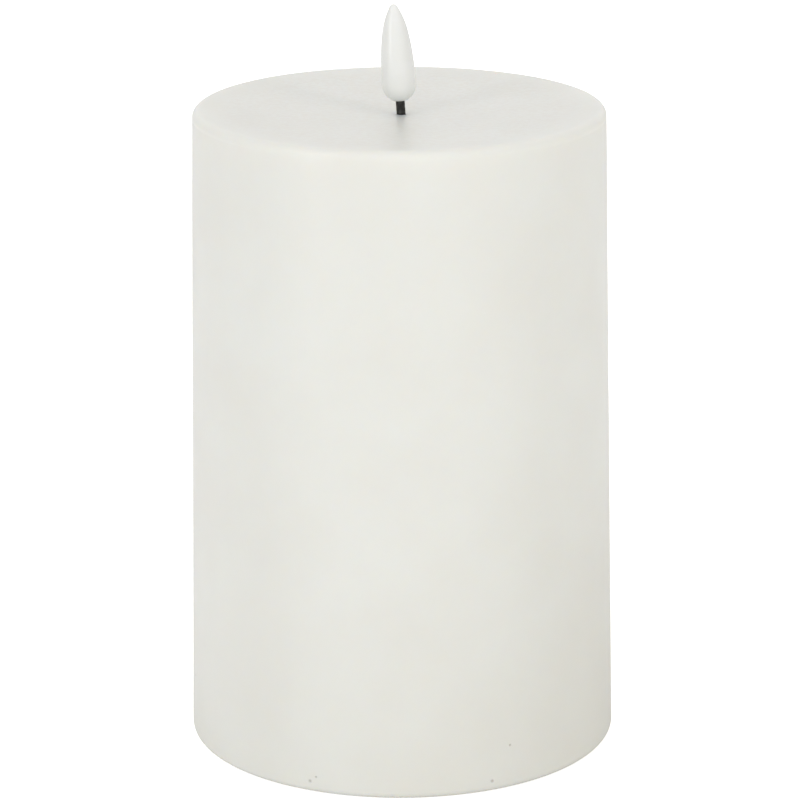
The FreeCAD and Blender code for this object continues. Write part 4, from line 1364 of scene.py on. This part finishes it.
@dataclass
class Studio:
    """Floor, world, soft lights and camera.

    Attributes:
        lens: Focal length in millimetres.
        distance: Level distance of the camera from the candle's axis.
        level: Height of the camera.
        pitch: How far the camera looks down, in degrees.
        roll: Turn of the camera about its own line of sight, in degrees.
        aside: Sideways place of the camera.
        ambient: Strength of the white surroundings at eye level.
        overhead: Their strength straight above.
        left_share: Share of their strength that is left at the left side.
        right_share: Share of their strength that is left at the right side.
        behind_share: Gain of their strength straight behind.
        side_tint: Tint of the dimmer sides.
    """

    lens: float = 171.94
    distance: float = 856.7 * MM
    level: float = 333.28 * MM
    pitch: float = 16.468
    roll: float = -0.306
    aside: float = -0.17 * MM
    ambient: float = 0.84
    overhead: float = 0.92
    left_share: float = 0.56
    right_share: float = 0.46
    behind_share: float = 1.2
    side_tint: Colour = (1.0, 0.96, 0.86, 1.0)

    def build(self) -> None:
        """Set up the camera, floor, world and lights."""
        self.camera()
        self.floor()
        self.world()
        self.softbox("left_softbox", (-1.06, -0.99, 0.35), (0.26, 1.7), 5.3, (1.0, 1.0, 0.99))
        self.softbox("right_softbox", (1.06, -0.99, 0.45), (0.24, 1.7), 5.6, (1.0, 0.98, 0.94),
                     mirrored=False)
        scene = bpy.context.scene
        scene.view_settings.view_transform = "Standard"
        scene.view_settings.look = "None"

    def camera(self) -> None:
        """Stand the camera before the candle."""
        data = bpy.data.cameras.new("studio_camera")
        data.lens = self.lens
        data.sensor_width = 36.0
        data.clip_start = 0.05
        data.clip_end = 20.0
        camera = bpy.data.objects.new("studio_camera", data)
        tip = Matrix.Rotation(math.radians(90 - self.pitch), 4, "X")
        turn = tip @ Matrix.Rotation(math.radians(self.roll), 4, "Z")
        camera.matrix_world = Matrix.Translation((self.aside, -self.distance, self.level)) @ turn
        bpy.context.collection.objects.link(camera)
        bpy.context.scene.camera = camera

    @staticmethod
    def floor() -> None:
        """Lay the plain floor."""
        Workbench.clear_selection()
        bpy.ops.mesh.primitive_plane_add(size=8.0, location=(0.0, 0.0, -0.02 * MM))
        floor = bpy.context.active_object
        floor.name = "studio_floor"
        floor.data.materials.append(StudioFloor("studio_floor", 0.6).material())
        floor.select_set(False)

    def world(self) -> None:
        """Give the scene white surroundings."""
        world = bpy.data.worlds.new("studio_world")
        bpy.context.scene.world = world
        world.use_nodes = True
        world.node_tree.nodes.clear()
        bench = NodeBench(world.node_tree)
        seen = bench.add("ShaderNodeLightPath").outputs["Is Camera Ray"]
        about = bench.add("ShaderNodeTexCoord").outputs["Generated"]
        way = bench.add("ShaderNodeSeparateXYZ", Vector=about)
        above = bench.span(way.outputs["Z"], 0.0, 1.0, self.ambient, self.overhead)
        left = bench.span(way.outputs["X"], -1.0, -0.25, self.left_share, 1.0)
        right = bench.span(way.outputs["X"], 0.25, 1.0, 1.0, self.right_share)
        beside = bench.calculate("MULTIPLY", left, right)
        behind = bench.span(way.outputs["Y"], 0.4, 1.0, 1.0, self.behind_share)
        soft = bench.calculate("MULTIPLY", bench.calculate("MULTIPLY", above, beside), behind)
        strength = bench.calculate("MAXIMUM", soft, seen)
        tint = bench.blend(beside, self.side_tint, (1.0, 1.0, 1.0, 1.0))
        colour = bench.blend(seen, tint, (1.0, 1.0, 1.0, 1.0))
        back = bench.add("ShaderNodeBackground", Color=colour, Strength=strength)
        out = bench.add("ShaderNodeOutputWorld")
        bench.feed(out.inputs["Surface"], back.outputs[0])

    @staticmethod
    def softbox(name: str, place: Place, size: Point, power: float,
                colour: tuple[float, float, float], mirrored: bool = True) -> None:
        """Hang one soft area light that faces the candle.

        Args:
            name: The light's name.
            place: Where it hangs, in metres.
            size: Its width and height in metres.
            power: Its power in watts.
            colour: Its colour.
            mirrored: Whether it shows in glossy surfaces.
        """
        data = bpy.data.lights.new(name, "AREA")
        data.shape = "RECTANGLE"
        data.size, data.size_y = size
        data.energy = power
        data.color = colour
        lamp = bpy.data.objects.new(name, data)
        lamp.location = place
        lamp.visible_glossy = mirrored
        aim = Vector((0.0, 0.0, 0.08)) - Vector(place)
        lamp.rotation_mode = "QUATERNION"
        lamp.rotation_quaternion = aim.to_track_quat("-Z", "Y")
        bpy.context.collection.objects.link(lamp)


def main() -> None:
    """Build the candle's looks and the studio round it."""
    logging.basicConfig(level=logging.INFO, format="%(name)s %(message)s")
    Studio().build()
    WaxPillar().build()
    FlameShade().build()
    DryCells().build()
    BoardJoints().build()
    FrameDresser().dress()


if __name__ == "__main__":
    main()
